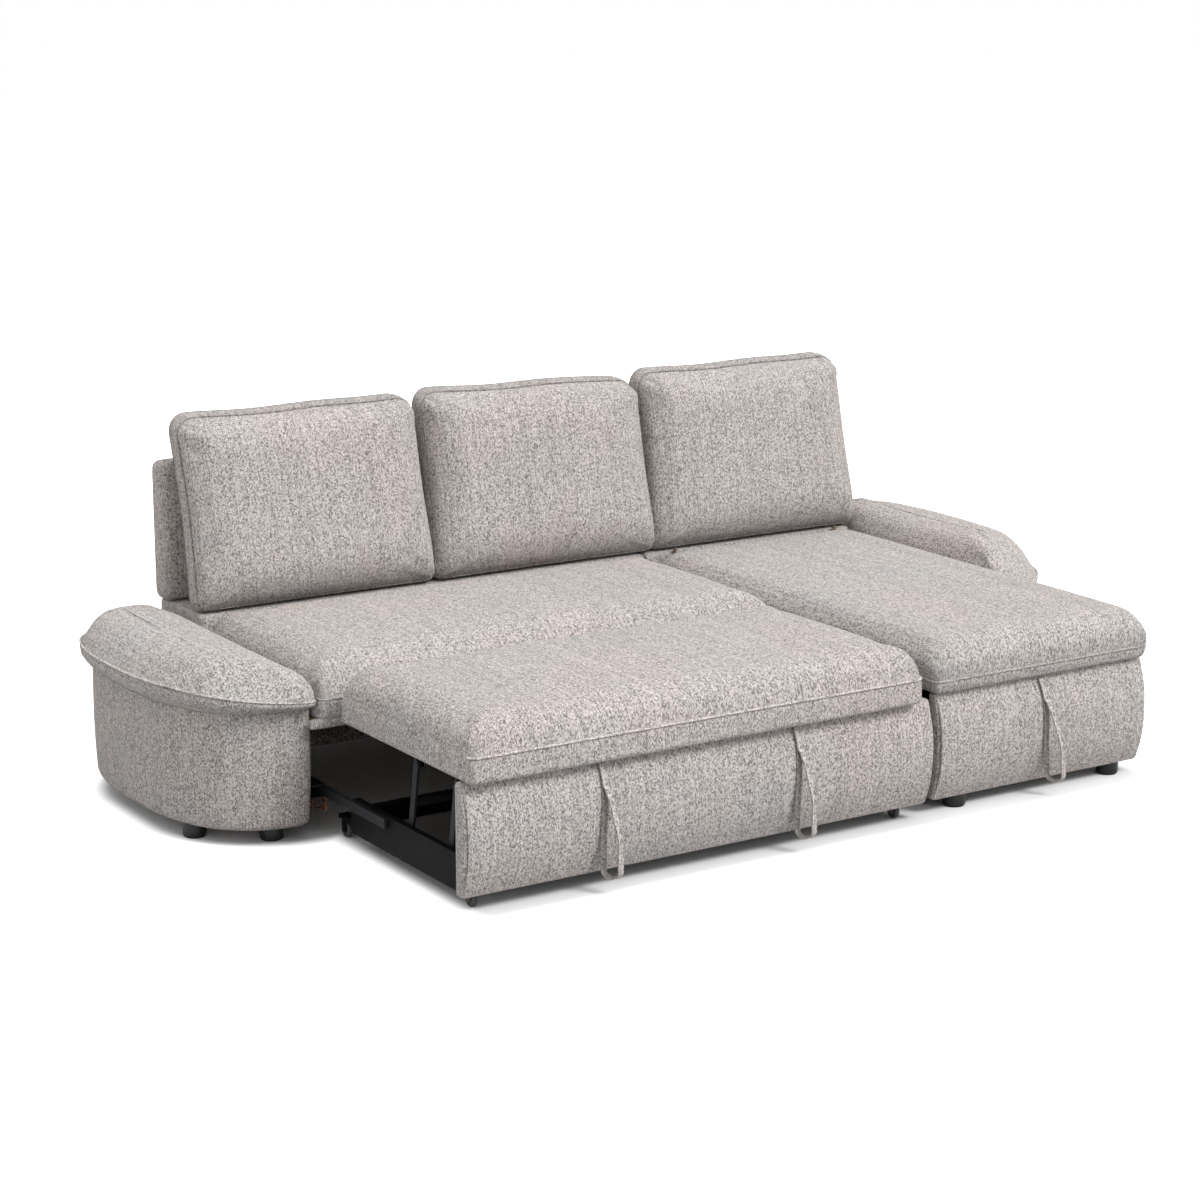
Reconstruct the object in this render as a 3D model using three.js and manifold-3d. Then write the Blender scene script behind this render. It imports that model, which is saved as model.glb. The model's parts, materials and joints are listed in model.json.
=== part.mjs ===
// Sectional sleeper sofa with a pull-out bed on casters and a storage chaise.
// Millimetres, +Z up, +X to the right, the front faces -Y. The origin is on the floor, midway
// between the two arms and midway between the front of the pull straps and the back.
// It is shown with the bed pulled out and its mattress raised beside the seat.

import * as THREE from 'three';
import { mergeVertices } from 'three/addons/utils/BufferGeometryUtils.js';
import Module from 'manifold-3d';

const wasm = await Module();
wasm.setup();

// Overall sizes
const overallDepth = 1530;        // front of the bed panel to the back of the sofa
const innerWidth = 2046;          // between the flat inner faces of the arms
const bodyBottom = 34;            // underside of everything that stands on feet
const seatHeight = 445;           // edge of the seats, before their crown
const seatBottom = 300;           // underside of the seat cushion
const gap = 0.3;                  // between pieces that rest on or against each other
const overrun = 5;                // how far a cutter runs past what it cuts

// Arms
const armReach = 294;             // outward from the inner face
const armLength = 836;
const armOutlineShare = 2.6;      // how full the D outline is: 2 is an ellipse
const armBaseTop = 330;
const armTaper = 8;               // the base draws in towards the floor
const armPipingHeight = 362;
const armCrownHeight = 488;
const armCrownFall = 22;          // the crown is this much lower at the front
const armRidgeInset = 190;        // the ends of the crown's ridge, from the front and the back
const armOverhang = 33;
const armEdgeRadius = 12;
const boxRadius = 10;             // edges of the upholstered boxes
const railRadius = 8;

// Two-seat bench and its box
const seatFrontSetback = 640;     // from the front of the bed panel
const seatCushionWidth = 1329;
const cushionSideGap = 5;         // beside a loose cushion
const seatRoll = 34;              // horizontal bulge of a seat cushion's side
const seatCrown = 14;
const deckThickness = 18;
const frontRailThickness = 22;
const frontRailHeight = 46;
const boardThickness = 16;
const ledgeHeight = 425;
const ledgeDepth = 249;           // from the back of the sofa to the rear of the seats
const ledgeGap = 6;               // behind the seat cushion

// Back frames
const backThickness = 74;
const backTop = 790;
const backEdgeRadius = 26;
const unitGap = 4;                // between the two-seat unit and the chaise unit

// Back cushions
const cushionCount = 3;
const cushionHeight = 504;
const cushionBorder = 46;         // thickness at the welted border
const cushionCrown = 60;          // each face swells by this
const cushionCorner = 46;
const cushionDraw = 8;            // its sides are drawn in by this
const cushionWeltRoll = 5;        // its border bulges by this
const cushionLeanDeg = 9.5;
const cushionFootInset = 219;     // middle of a back cushion's lower edge, from the back
const cushionGap = 3;

// Bed panel and mattress
const bedSideGap = 26;            // between the left arm and the bed
const bedLidGap = 20;             // between the bed's right end and the chaise lid
const panelThickness = 57;
const panelBulge = 21;            // the belly stands this far in front of the top and bottom
const panelBottom = 42;
const panelTop = 305;
const panelCornerRadius = 14;
const panelEndRadius = 12;
const weld = 1;                   // how far pieces of one body run into each other
const mattressInset = 5;          // left end of the mattress from the left end of the panel
const mattressRightInset = 40;
const mattressRear = 603;         // from the front of the bed panel
const mattressProud = 8;          // in front of the panel's belly
const mattressThickness = 128;
const mattressCrown = 9;
const mattressRoll = 16;
const mattressCorner = 38;

// Bed carriage
const carriageSideInset = 22;     // side boards from the ends of the panel
const sideBoardBottom = 40;
const sideBoardTop = 128;
const sideBoardRear = 584;
const sideBoardRadius = 22;
const rearRailSetback = 562;
const rearRailTop = 104;
const carriageFloorBottom = 46;
const carriageFloorThickness = 10;
const wheelRadius = 20;
const wheelWidth = 13;
const wheelBore = 3.4;
const axleRadius = 3;
const forkThickness = 3;
const forkSideGap = 1;
const frontWheelSetback = 84;
const rearWheelSetback = 668;
const wheelInset = 56;            // wheel centre from the end of the panel
const guideBarThickness = 10;
const guideBarHeight = 24;
const guideBarFront = 400;
const guideBarRear = 1010;
const guideBarBottom = 100;
const guideClearance = 0.5;
const guideWall = 4;
const guideRailFront = 705;
const guideRailInset = 11;        // rear end of a rail, in front of the rear box
const guideMouthGap = 1.6;        // between the rail's lips and the side board's plane

// Lift linkage
const liftArmLength = 200;
const liftArmWidth = 20;
const liftArmThickness = 6;
const liftPivotHeight = 81;       // lower pivots
const liftRestDeg = 10;           // the raised arms lean this far past upright, to the front
const frontPivotSetback = 150;
const rearPivotSetback = 332;
const pivotRadius = 5;
const pivotBore = 5.5;
const sideClearance = 1;          // between a link and the board beside it
const torsionTubeRadius = 9;
const torsionTubeShare = 0.5;     // how far up the rear arms the tube sits
const bedBoardThickness = 16;
const bedBoardFront = 62;
const bedBoardRear = 590;
const bedBoardSideGap = 4;
const lugThickness = 8;
const lugWidth = 26;

// Chaise
const lidGap = 7;                 // between the seat cushion and the lid
const lidOverhang = 50;           // of the lid past the left side of the chaise box
const chaiseSideGap = 15;         // between the chaise box and the right arm
const chaiseSetback = 25;         // chaise front behind the bed front
const lidSideGap = 11;            // between the lid and the right arm
const chaiseFloorThickness = 12;
const boxTop = 294;
const lidBoardThickness = 12;
const lidSeam = 10;               // behind the lid, for its hinges
const hingeHeight = 430;
const hingePlateThickness = 4;
const hingePlateWidth = 5;        // in the seam, front to back
const hingeInset = 40;            // hinge plates from the sides of the box
const hingePinRadius = 2.2;
const hingePinLength = 14;
const lidCrown = 12;
const lidRoll = 26;

// Lid struts, in the plane of the chaise's sides
const strutFootInset = 60;        // in front of the lid's hinge
const strutFootHeight = 120;
const strutHeadInset = 300;
const strutHeadHeight = 275;
const strutCylinderRadius = 10;
const strutRodRadius = 4;
const strutCylinderLength = 236;
const strutWall = 2.5;
const strutBore = 4.4;
const strutSideGap = 10;          // from the box side to the strut's foot
const strutEyeRadius = 9;
const strutEyeThickness = 6;

// Feet
const footRadius = 29;
const footTipRadius = 25;
const footInset = 62;             // behind a front face or in front of a rear face
const footSideInset = 68;
const armFootInset = 75;          // inward from the arm's inner or outer side
const armSideFootSetback = 181;   // behind the front of the arm
const armRearFootInset = 150;

// Pull straps
const strapWidth = 26;
const strapThickness = 3;
const strapOpen = 30;             // widest gap between the two legs
const strapTop = 298;
const strapBottom = 38;
const bedStrapShares = [0.275, 0.69];
const strapKnotShare = 0.2;       // share of its length where the legs lie on each other
const strapSpreadShare = 0.5;     // share over which they then part

// Buffer spring by the left arm
const springRadius = 16;
const springWire = 3.4;
const springTurnCount = 9;
const springLength = 78;
const springFront = 706;
const springHeight = 76;
const springInset = 34;           // its axis from the arm's inner face
const hookRadius = 13;

// Places worked out from the sizes
const strapProud = gap + 2 * strapThickness + strapOpen;
const halfInner = innerWidth / 2;
const rearY = (overallDepth + strapProud) / 2;
const frontY = rearY - overallDepth;
const fromFront = setback => frontY + setback;
const armCentreY = rearY - armLength / 2;
const bedLeft = -halfInner + bedSideGap;
const lidLeft = -halfInner + cushionSideGap + seatCushionWidth + lidGap;
const lidWidth = halfInner - lidSideGap - lidLeft;
const chaiseLeft = lidLeft + lidOverhang;
const chaiseRight = halfInner - chaiseSideGap;
const bedRight = lidLeft - bedLidGap;
const bedWidth = bedRight - bedLeft;
const mattressWidth = bedWidth - mattressInset - mattressRightInset;
const rearDeckSetback = overallDepth - ledgeDepth;
const seatCushionDepth = rearDeckSetback - ledgeGap - seatFrontSetback;
const lidRearSetback = rearDeckSetback - lidSeam;
const lidHingeY = fromFront(rearDeckSetback - lidSeam / 2);
const strutFootY = lidHingeY - strutFootInset;
const strutHeadY = lidHingeY - strutHeadInset;
const radians = degrees => degrees * Math.PI / 180;

// Finishes
const finish = (color, roughness, metalness = 0) => ({ color, roughness, metalness });
const tweed = finish(0xb9b1ac, 0.95);
const blackBoard = finish(0x1c1c1f, 0.7);
const greyBoard = finish(0x77736f, 0.8);
const blackPlastic = finish(0x151515, 0.45);
const rubber = finish(0x2a2a2c, 0.6);
const greySteel = finish(0x6d7075, 0.4, 0.9);
const brightSteel = finish(0xb8bbc0, 0.25, 1);
const copperSteel = finish(0x9a5a3c, 0.4, 0.9);
const plywood = finish(0xa98d68, 0.8);

const sofa = new THREE.Group();

function addMesh(name, geometry, look, parent = sofa) {
  const mesh = new THREE.Mesh(geometry, new THREE.MeshStandardMaterial(look));
  mesh.name = name;
  parent.add(mesh);
  return mesh;
}

// Solids joined and cut with manifold-3d
function solidOf(geometry) {
  const bare = new THREE.BufferGeometry();
  bare.setAttribute('position', geometry.getAttribute('position'));
  if (geometry.index) bare.setIndex(geometry.index);
  const merged = mergeVertices(bare, 1e-4);
  return new wasm.Manifold(new wasm.Mesh({
    numProp: 3,
    vertProperties: new Float32Array(merged.attributes.position.array),
    triVerts: new Uint32Array(merged.index.array),
  }));
}

function geometryOf(solid) {
  const mesh = solid.getMesh();
  const points = new Float32Array(mesh.numVert * 3);
  for (let vertex = 0; vertex < mesh.numVert; vertex++) {
    for (let part = 0; part < 3; part++) {
      points[vertex * 3 + part] = mesh.vertProperties[vertex * mesh.numProp + part];
    }
  }
  const geometry = new THREE.BufferGeometry();
  geometry.setAttribute('position', new THREE.BufferAttribute(points, 3));
  geometry.setIndex(new THREE.BufferAttribute(new Uint32Array(mesh.triVerts), 1));
  return geometry;
}

function joined(geometries, cutters = []) {
  let solid = geometries.map(solidOf).reduce((sum, next) => sum.add(next));
  for (const cutter of cutters) {
    solid = solid.subtract(solidOf(cutter));
  }
  return geometryOf(solid);
}

// Plain blocks and round bars between named faces
function block(x0, x1, y0, y1, z0, z1) {
  const box = new THREE.BoxGeometry(x1 - x0, y1 - y0, z1 - z0);
  return box.translate((x0 + x1) / 2, (y0 + y1) / 2, (z0 + z1) / 2);
}

function barX(x0, x1, y, z, radius, sides = 16) {
  const bar = new THREE.CylinderGeometry(radius, radius, x1 - x0, sides);
  return bar.rotateZ(-Math.PI / 2).translate((x0 + x1) / 2, y, z);
}

// Turns a shape drawn in x and y and raised along z, so that it is drawn in Y and Z and runs along X
const alongX = geometry => geometry.applyMatrix4(new THREE.Matrix4().makeBasis(
  new THREE.Vector3(0, 1, 0), new THREE.Vector3(0, 0, 1), new THREE.Vector3(1, 0, 0)));

// Closed solid through rings of points, each anticlockwise seen from the last ring's side
function ringSolid(rings) {
  const points = [];
  const faces = [];
  const starts = rings.map(ring => {
    const start = points.length / 3;
    ring.forEach(point => points.push(point[0], point[1], point[2]));
    return start;
  });
  for (let row = 0; row + 1 < rings.length; row++) {
    const lower = rings[row].length;
    const upper = rings[row + 1].length;
    const count = Math.max(lower, upper);
    for (let step = 0; step < count; step++) {
      const next = (step + 1) % count;
      const a0 = starts[row] + (lower > 1 ? step : 0);
      const a1 = starts[row] + (lower > 1 ? next : 0);
      const b0 = starts[row + 1] + (upper > 1 ? step : 0);
      const b1 = starts[row + 1] + (upper > 1 ? next : 0);
      if (lower > 1) faces.push(a0, a1, b1);
      if (upper > 1) faces.push(a0, b1, b0);
    }
  }
  const geometry = new THREE.BufferGeometry();
  geometry.setAttribute('position', new THREE.BufferAttribute(new Float32Array(points), 3));
  geometry.setIndex(faces);
  return geometry;
}

// Outlines are lists of [x, y], anticlockwise
const middleOf = outline => {
  const xs = outline.map(point => point[0]);
  const ys = outline.map(point => point[1]);
  return [(Math.min(...xs) + Math.max(...xs)) / 2, (Math.min(...ys) + Math.max(...ys)) / 2];
};

function inset(outline, distance) {
  const count = outline.length;
  return outline.map((point, index) => {
    const before = outline[(index + count - 1) % count];
    const after = outline[(index + 1) % count];
    const first = new THREE.Vector2(point[0] - before[0], point[1] - before[1]).normalize();
    const second = new THREE.Vector2(after[0] - point[0], after[1] - point[1]).normalize();
    const normal = new THREE.Vector2(-first.y - second.y, first.x + second.x).normalize();
    const reach = distance / Math.max(0.5, -first.y * normal.x + first.x * normal.y);
    return [point[0] + normal.x * reach, point[1] + normal.y * reach];
  });
}

// Replaces each sharp corner with an arc
function rounded(outline, radius, steps = 4) {
  const count = outline.length;
  const result = [];
  outline.forEach((point, index) => {
    const corner = new THREE.Vector2(...point);
    const before = new THREE.Vector2(...outline[(index + count - 1) % count]).sub(corner);
    const after = new THREE.Vector2(...outline[(index + 1) % count]).sub(corner);
    const turn = Math.PI - Math.abs(before.angleTo(after));
    if (turn < Math.PI / 7) {
      result.push(point);
      return;
    }
    const reach = Math.min(radius * Math.tan(turn / 2), before.length() / 2, after.length() / 2);
    const start = before.clone().setLength(reach).add(corner);
    const end = after.clone().setLength(reach).add(corner);
    for (let step = 0; step <= steps; step++) {
      const share = step / steps;
      const a = start.clone().lerp(corner, share);
      const b = corner.clone().lerp(end, share);
      const mixed = a.lerp(b, share);
      result.push([mixed.x, mixed.y]);
    }
  });
  return result;
}

const rectangle = (x0, x1, y0, y1) => [[x0, y0], [x1, y0], [x1, y1], [x0, y1]];

// Outline raised from one height to another with rounded rims
function roundedPrism(outline, from, to, radius, steps = 3) {
  const middle = middleOf(outline);
  const rings = [[[middle[0], middle[1], from]]];
  for (let step = 0; step <= steps; step++) {
    const angle = step / steps * Math.PI / 2;
    const ring = inset(outline, radius * (1 - Math.sin(angle)));
    rings.push(ring.map(([x, y]) => [x, y, from + radius * (1 - Math.cos(angle))]));
  }
  for (let step = steps; step >= 0; step--) {
    const angle = step / steps * Math.PI / 2;
    const ring = inset(outline, radius * (1 - Math.sin(angle)));
    rings.push(ring.map(([x, y]) => [x, y, to - radius * (1 - Math.cos(angle))]));
  }
  rings.push([[middle[0], middle[1], to]]);
  return ringSolid(rings);
}

// Rounded rectangle whose sides are drawn in between the corners
function drawnOutline(width, depth, corner, draw, steps = 6) {
  const sides = [
    [[-width / 2, -depth / 2], [width / 2, -depth / 2], [0, 1]],
    [[width / 2, -depth / 2], [width / 2, depth / 2], [-1, 0]],
    [[width / 2, depth / 2], [-width / 2, depth / 2], [0, -1]],
    [[-width / 2, depth / 2], [-width / 2, -depth / 2], [1, 0]],
  ];
  const points = [];
  for (const [start, end, inward] of sides) {
    const length = Math.hypot(end[0] - start[0], end[1] - start[1]);
    const first = corner / length;
    for (let step = 0; step <= steps; step++) {
      const share = first + (1 - 2 * first) * step / steps;
      const pull = draw * (1 - (2 * step / steps - 1) ** 2);
      points.push([
        start[0] + (end[0] - start[0]) * share + inward[0] * pull,
        start[1] + (end[1] - start[1]) * share + inward[1] * pull,
      ]);
    }
    const turn = Math.SQRT1_2;
    const next = [end[0] + inward[0] * corner, end[1] + inward[1] * corner];
    const back = [(start[0] - end[0]) / length, (start[1] - end[1]) / length];
    const centre = [next[0] + back[0] * corner, next[1] + back[1] * corner];
    points.push([
      centre[0] - (back[0] + inward[0]) * turn * corner,
      centre[1] - (back[1] + inward[1]) * turn * corner,
    ]);
  }
  return points;
}

// Padded solid: a flat or crowned face above and below, joined by a bulging side.
// The crown falls off towards each edge of the face as a power of the share of the way there.
const faceShares = [0.96, 0.87, 0.7, 0.42];
function padSolid(outline, bottom, top, roll, crownAbove, crownBelow = 0, sideSteps = 4) {
  const middle = middleOf(outline);
  const rim = inset(outline, roll);
  const halfWidth = Math.max(...rim.map(([x]) => x - middle[0]));
  const halfDepth = Math.max(...rim.map(([, y]) => y - middle[1]));
  const swell = (x, y) => {
    const across = 1 - Math.min(1, Math.abs(x - middle[0]) / halfWidth) ** 4;
    const along = 1 - Math.min(1, Math.abs(y - middle[1]) / halfDepth) ** 4;
    return (across * along) ** 0.5;
  };
  const face = (share, height, crown) => rim.map(([x, y]) => {
    const px = middle[0] + (x - middle[0]) * share;
    const py = middle[1] + (y - middle[1]) * share;
    return [px, py, height + crown * swell(px, py)];
  });
  const rings = [[[middle[0], middle[1], bottom - crownBelow]]];
  if (crownBelow > 0) {
    for (const share of [...faceShares].reverse()) rings.push(face(share, bottom, -crownBelow));
  }
  for (let step = 0; step <= sideSteps; step++) {
    const angle = step / sideSteps * Math.PI;
    const ring = inset(outline, roll * (1 - Math.sin(angle)));
    const height = (bottom + top) / 2 - (top - bottom) / 2 * Math.cos(angle);
    rings.push(ring.map(([x, y]) => [x, y, height]));
  }
  for (const share of faceShares) rings.push(face(share, top, crownAbove));
  rings.push([[middle[0], middle[1], top + crownAbove]]);
  return ringSolid(rings);
}

// D outline of an arm: its flat side at x = 0, its round side towards -X, grown outwards and
// forwards by an overhang
function armOutline(overhang, steps = 18) {
  const points = [];
  for (let step = 0; step <= steps; step++) {
    const angle = Math.PI / 2 - step / steps * Math.PI;
    const across = Math.cos(angle) ** (2 / armOutlineShare);
    const along = Math.abs(Math.sin(angle)) ** (2 / armOutlineShare) * Math.sign(Math.sin(angle));
    const reachAlong = armLength / 2 + (angle < 0 ? overhang : 0);
    points.push([-across * (armReach + overhang), armCentreY + along * reachAlong]);
  }
  points[0][0] = 0;
  points[points.length - 1][0] = 0;
  return points;
}

const domeShares = [0.96, 0.87, 0.72, 0.5, 0.28, 0.1];
function buildArm(side) {
  const flip = geometry => {
    if (side < 0) return geometry;
    const mirrored = geometry.clone().scale(-1, 1, 1);
    const order = mirrored.index.array;
    for (let face = 0; face < order.length; face += 3) {
      [order[face], order[face + 1]] = [order[face + 1], order[face]];
    }
    return mirrored;
  };
  const place = side * halfInner;
  const base = rounded(armOutline(0), armEdgeRadius);
  const middle = middleOf(base);
  const foot = base.map(([x, y]) => [
    x * (1 - armTaper / armReach),
    middle[1] + (y - middle[1]) * (1 - 2 * armTaper / armLength),
  ]);
  const atHeight = (outline, height) => outline.map(([x, y]) => [x, y, height]);
  const baseSolid = ringSolid([
    [[middle[0], middle[1], bodyBottom]],
    atHeight(inset(foot, armEdgeRadius), bodyBottom),
    atHeight(foot, bodyBottom + armEdgeRadius),
    atHeight(base, armBaseTop * 0.6),
    atHeight(base, armBaseTop),
    [[middle[0], middle[1], armBaseTop]],
  ]);
  const pillow = rounded(armOutline(armOverhang), armEdgeRadius);
  const pillowMiddle = middleOf(pillow);
  const underside = inset(pillow, armOverhang * 0.7);
  const rings = [
    [[pillowMiddle[0], pillowMiddle[1], armBaseTop + gap]],
    atHeight(underside, armBaseTop + gap),
    atHeight(inset(pillow, armOverhang * 0.12), (armBaseTop + armPipingHeight) / 2),
    atHeight(pillow, armPipingHeight),
  ];
  // the dome rises from the piping to a ridge that climbs towards the back
  const frontMost = rearY - armLength - armOverhang;
  const ridgeX = -armReach * 0.36;
  const ridgeY = y => Math.min(Math.max(y, frontMost + armRidgeInset), rearY - armRidgeInset);
  const rise = y => armCrownHeight - armPipingHeight - armCrownFall * (rearY - y) / armLength;
  for (const share of domeShares) {
    rings.push(pillow.map(([x, y]) => {
      const steep = x > -armEdgeRadius;
      const swell = steep ? (1 - share ** 7) ** 0.6 : (1 - share ** 2.3) ** 0.7;
      const px = ridgeX + (x - ridgeX) * share;
      const py = ridgeY(y) + (y - ridgeY(y)) * share;
      return [px, py, armPipingHeight + rise(py) * swell];
    }));
  }
  const ridgeMiddle = (ridgeY(frontMost) + ridgeY(rearY)) / 2;
  rings.push([[ridgeX, ridgeMiddle, armPipingHeight + rise(ridgeMiddle)]]);
  const name = side < 0 ? 'left' : 'right';
  addMesh(`${name}_arm_base`, flip(baseSolid).translate(place, 0, 0), tweed);
  addMesh(`${name}_arm_cushion`, flip(ringSolid(rings)).translate(place, 0, 0), tweed);
}

// Front of an upholstered panel at a height, as a distance behind its belly
const bellyDepth = (height, bottom, top) => {
  const share = Math.abs((height - (bottom + top) / 2) / ((top - bottom) / 2));
  return panelBulge * Math.min(share, 1) ** 2.2;
};

function barrelPanel(x0, x1, front, bottom, top) {
  const profile = [[front + panelThickness, bottom], [front + panelThickness, top]];
  const steps = 12;
  for (let step = 0; step <= steps; step++) {
    const height = top + (bottom - top) * step / steps;
    profile.push([front + bellyDepth(height, bottom, top), height]);
  }
  const outline = rounded(profile, panelCornerRadius, 3);
  return alongX(roundedPrism(outline, x0, x1, panelEndRadius, 3));
}

// Pull strap: a band folded into a hanging loop, its back leg lying on the panel's belly
function strapLoop(x, front, bottom, top) {
  const hang = strapBottom + strapThickness + strapOpen / 2;
  const middle = (bottom + top) / 2;
  const follow = height => front - gap + (height > middle ? bellyDepth(height, bottom, top) : 0);
  const apart = share => strapOpen * Math.min(1, (share - strapKnotShare) / strapSpreadShare) ** 0.8;
  const outer = [];
  const inner = [];
  const steps = 12;
  for (let step = 0; step <= steps; step++) {
    const share = step / steps;
    const height = strapTop + (hang - strapTop) * share;
    const back = follow(height);
    const opening = share > strapKnotShare ? apart(share) : 0;
    outer.push([back, height, back - 2 * strapThickness - opening]);
    if (opening > 0) inner.push([back - strapThickness, height, back - strapThickness - opening]);
  }
  // down the back leg, round the bottom and up the front leg
  const loop = (rows, radius) => {
    const last = rows[rows.length - 1];
    const centre = (last[0] + last[2]) / 2;
    const points = rows.map(row => new THREE.Vector2(row[0], row[1]));
    for (let step = 1; step < 6; step++) {
      const angle = step / 6 * Math.PI;
      points.push(new THREE.Vector2(centre + radius * Math.cos(angle), hang - radius * Math.sin(angle)));
    }
    return [...points, ...rows.map(row => new THREE.Vector2(row[2], row[1])).reverse()];
  };
  const band = (points, depth) => new THREE.ExtrudeGeometry(new THREE.Shape(points),
    { depth, bevelEnabled: false });
  const solid = band(loop(outer, strapOpen / 2 + strapThickness), strapWidth);
  const hollow = band(loop(inner, strapOpen / 2), strapWidth + 2 * overrun).translate(0, 0, -overrun);
  return alongX(joined([solid], [hollow])).translate(x - strapWidth / 2, 0, 0);
}

// Two-seat unit
function buildBench() {
  const front = fromFront(seatFrontSetback);
  const cushionRear = front + seatCushionDepth;
  const left = -halfInner + cushionSideGap;
  const right = left + seatCushionWidth;
  const middle = [(left + right) / 2, (front + cushionRear) / 2];
  const outline = drawnOutline(seatCushionWidth, seatCushionDepth, mattressCorner, 0);
  const cushion = padSolid(outline, seatBottom, seatHeight - seatCrown, seatRoll, seatCrown);
  addMesh('seat_cushion', cushion.translate(middle[0], middle[1], 0), tweed);

  const deckTop = seatBottom - gap;
  const deckBottom = deckTop - deckThickness;
  const boxFront = cushionRear + ledgeGap;
  const wallRight = chaiseLeft - unitGap;
  const wallLeft = wallRight - boardThickness;
  const railRear = front + frontRailThickness;
  const deck = block(-halfInner + gap, wallRight, railRear + gap, boxFront - gap, deckBottom, deckTop);
  addMesh('seat_deck', deck, plywood);
  const railBottom = deckTop - frontRailHeight;
  const rail = rounded(rectangle(front, railRear, railBottom, deckTop), railRadius);
  const railSolid = alongX(roundedPrism(rail, -halfInner + gap, wallRight, railRadius / 2));
  addMesh('seat_front_rail', railSolid, tweed);
  const wall = block(wallLeft, wallRight, railRear + gap, boxFront - gap, bodyBottom, deckBottom - gap);
  addMesh('middle_side_board', wall, blackBoard);

  const unitRight = lidLeft - unitGap;
  const box = rectangle(-halfInner + gap, unitRight, boxFront, rearY);
  addMesh('rear_box', roundedPrism(rounded(box, boxRadius), bodyBottom, ledgeHeight, boxRadius), tweed);
  backFrame('left_back_frame', -halfInner + gap, unitRight);
}

function backFrame(name, x0, x1) {
  const bottom = ledgeHeight + gap;
  const face = rounded(rectangle(x0, x1, bottom, backTop), backEdgeRadius * 1.5);
  const frame = roundedPrism(face, 0, backThickness, backEdgeRadius, 4);
  // drawn in X and Z with its depth along +Y
  frame.applyMatrix4(new THREE.Matrix4().makeBasis(
    new THREE.Vector3(1, 0, 0), new THREE.Vector3(0, 0, 1), new THREE.Vector3(0, -1, 0)));
  addMesh(name, frame.translate(0, rearY, 0), tweed);
}

// Loose back cushions, leaning on the back frame
function buildBackCushions() {
  const pitch = innerWidth / cushionCount;
  const width = pitch - cushionGap;
  const outline = drawnOutline(width, cushionHeight, cushionCorner, cushionDraw);
  for (let index = 0; index < cushionCount; index++) {
    const pad = padSolid(outline, -cushionBorder / 2, cushionBorder / 2, cushionWeltRoll,
      cushionCrown, cushionCrown, 3);
    // stands it up, front face to -Y, then leans it back and rests it on the ledge
    pad.rotateX(Math.PI / 2).translate(0, 0, cushionHeight / 2);
    pad.rotateX(-radians(cushionLeanDeg));
    pad.computeBoundingBox();
    const x = -halfInner + pitch * (index + 0.5);
    pad.translate(x, rearY - cushionFootInset, ledgeHeight + gap - pad.boundingBox.min.z);
    const names = ['left_back_cushion', 'middle_back_cushion', 'right_back_cushion'];
    addMesh(names[index], pad, tweed);
  }
}

// Storage chaise
function buildChaise() {
  const front = fromFront(chaiseSetback);
  const panelRear = front + panelThickness;
  const panel = barrelPanel(chaiseLeft, chaiseRight, front, bodyBottom, panelTop);
  addMesh('chaise_front_panel', panel, tweed);
  const wallFront = panelRear + gap;
  const wallRear = fromFront(rearDeckSetback);
  const leftInner = chaiseLeft + boardThickness;
  const rightInner = chaiseRight - boardThickness;
  const floorTop = bodyBottom + chaiseFloorThickness;
  const rearInner = wallRear - boardThickness;
  const sides = [['left', chaiseLeft, leftInner, 1], ['right', rightInner, chaiseRight, -1]];
  for (const [name, x0, x1, inward] of sides) {
    const board = block(x0, x1, wallFront, wallRear, bodyBottom, boxTop);
    const inner = inward > 0 ? x1 : x0;
    const stud = inner + inward * (strutSideGap + strutEyeThickness);
    const root = inner - inward * weld;
    const pin = barX(Math.min(root, stud), Math.max(root, stud),
      strutFootY, strutFootHeight, pivotRadius);
    addMesh(`chaise_${name}_side`, joined([board, pin]), name === 'right' ? tweed : blackBoard);
  }
  const floor = block(leftInner + gap, rightInner - gap, wallFront, rearInner - gap, bodyBottom, floorTop);
  addMesh('chaise_floor', floor, greyBoard);

  // rear board with two upright hinge plates, each with a pin at its top
  const board = block(leftInner + gap, rightInner - gap, rearInner, wallRear, bodyBottom, boxTop);
  const seamY = lidHingeY;
  const plates = [];
  for (const [x, inward] of [[chaiseLeft + hingeInset, 1], [chaiseRight - hingeInset, -1]]) {
    const plate = [x - hingePlateThickness / 2, x + hingePlateThickness / 2];
    plates.push(block(...plate, seamY - hingePlateWidth / 2, wallRear, boxTop - overrun, boxTop + overrun));
    plates.push(block(...plate, seamY - hingePlateWidth / 2, seamY + hingePlateWidth / 2,
      boxTop - overrun, hingeHeight + hingePlateWidth / 2));
    plates.push(barX(Math.min(x, x + inward * hingePinLength), Math.max(x, x + inward * hingePinLength),
      seamY, hingeHeight, hingePinRadius, 12));
  }
  addMesh('chaise_rear_board', joined([board, ...plates]), greyBoard);

  const deckLeft = lidLeft;
  const deckRight = halfInner - gap;
  const deck = rounded(rectangle(deckLeft, deckRight, wallRear + gap, rearY), boxRadius);
  addMesh('chaise_rear_deck', roundedPrism(deck, bodyBottom, ledgeHeight, boxRadius), tweed);
  backFrame('right_back_frame', lidLeft, halfInner - gap);
}

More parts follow.
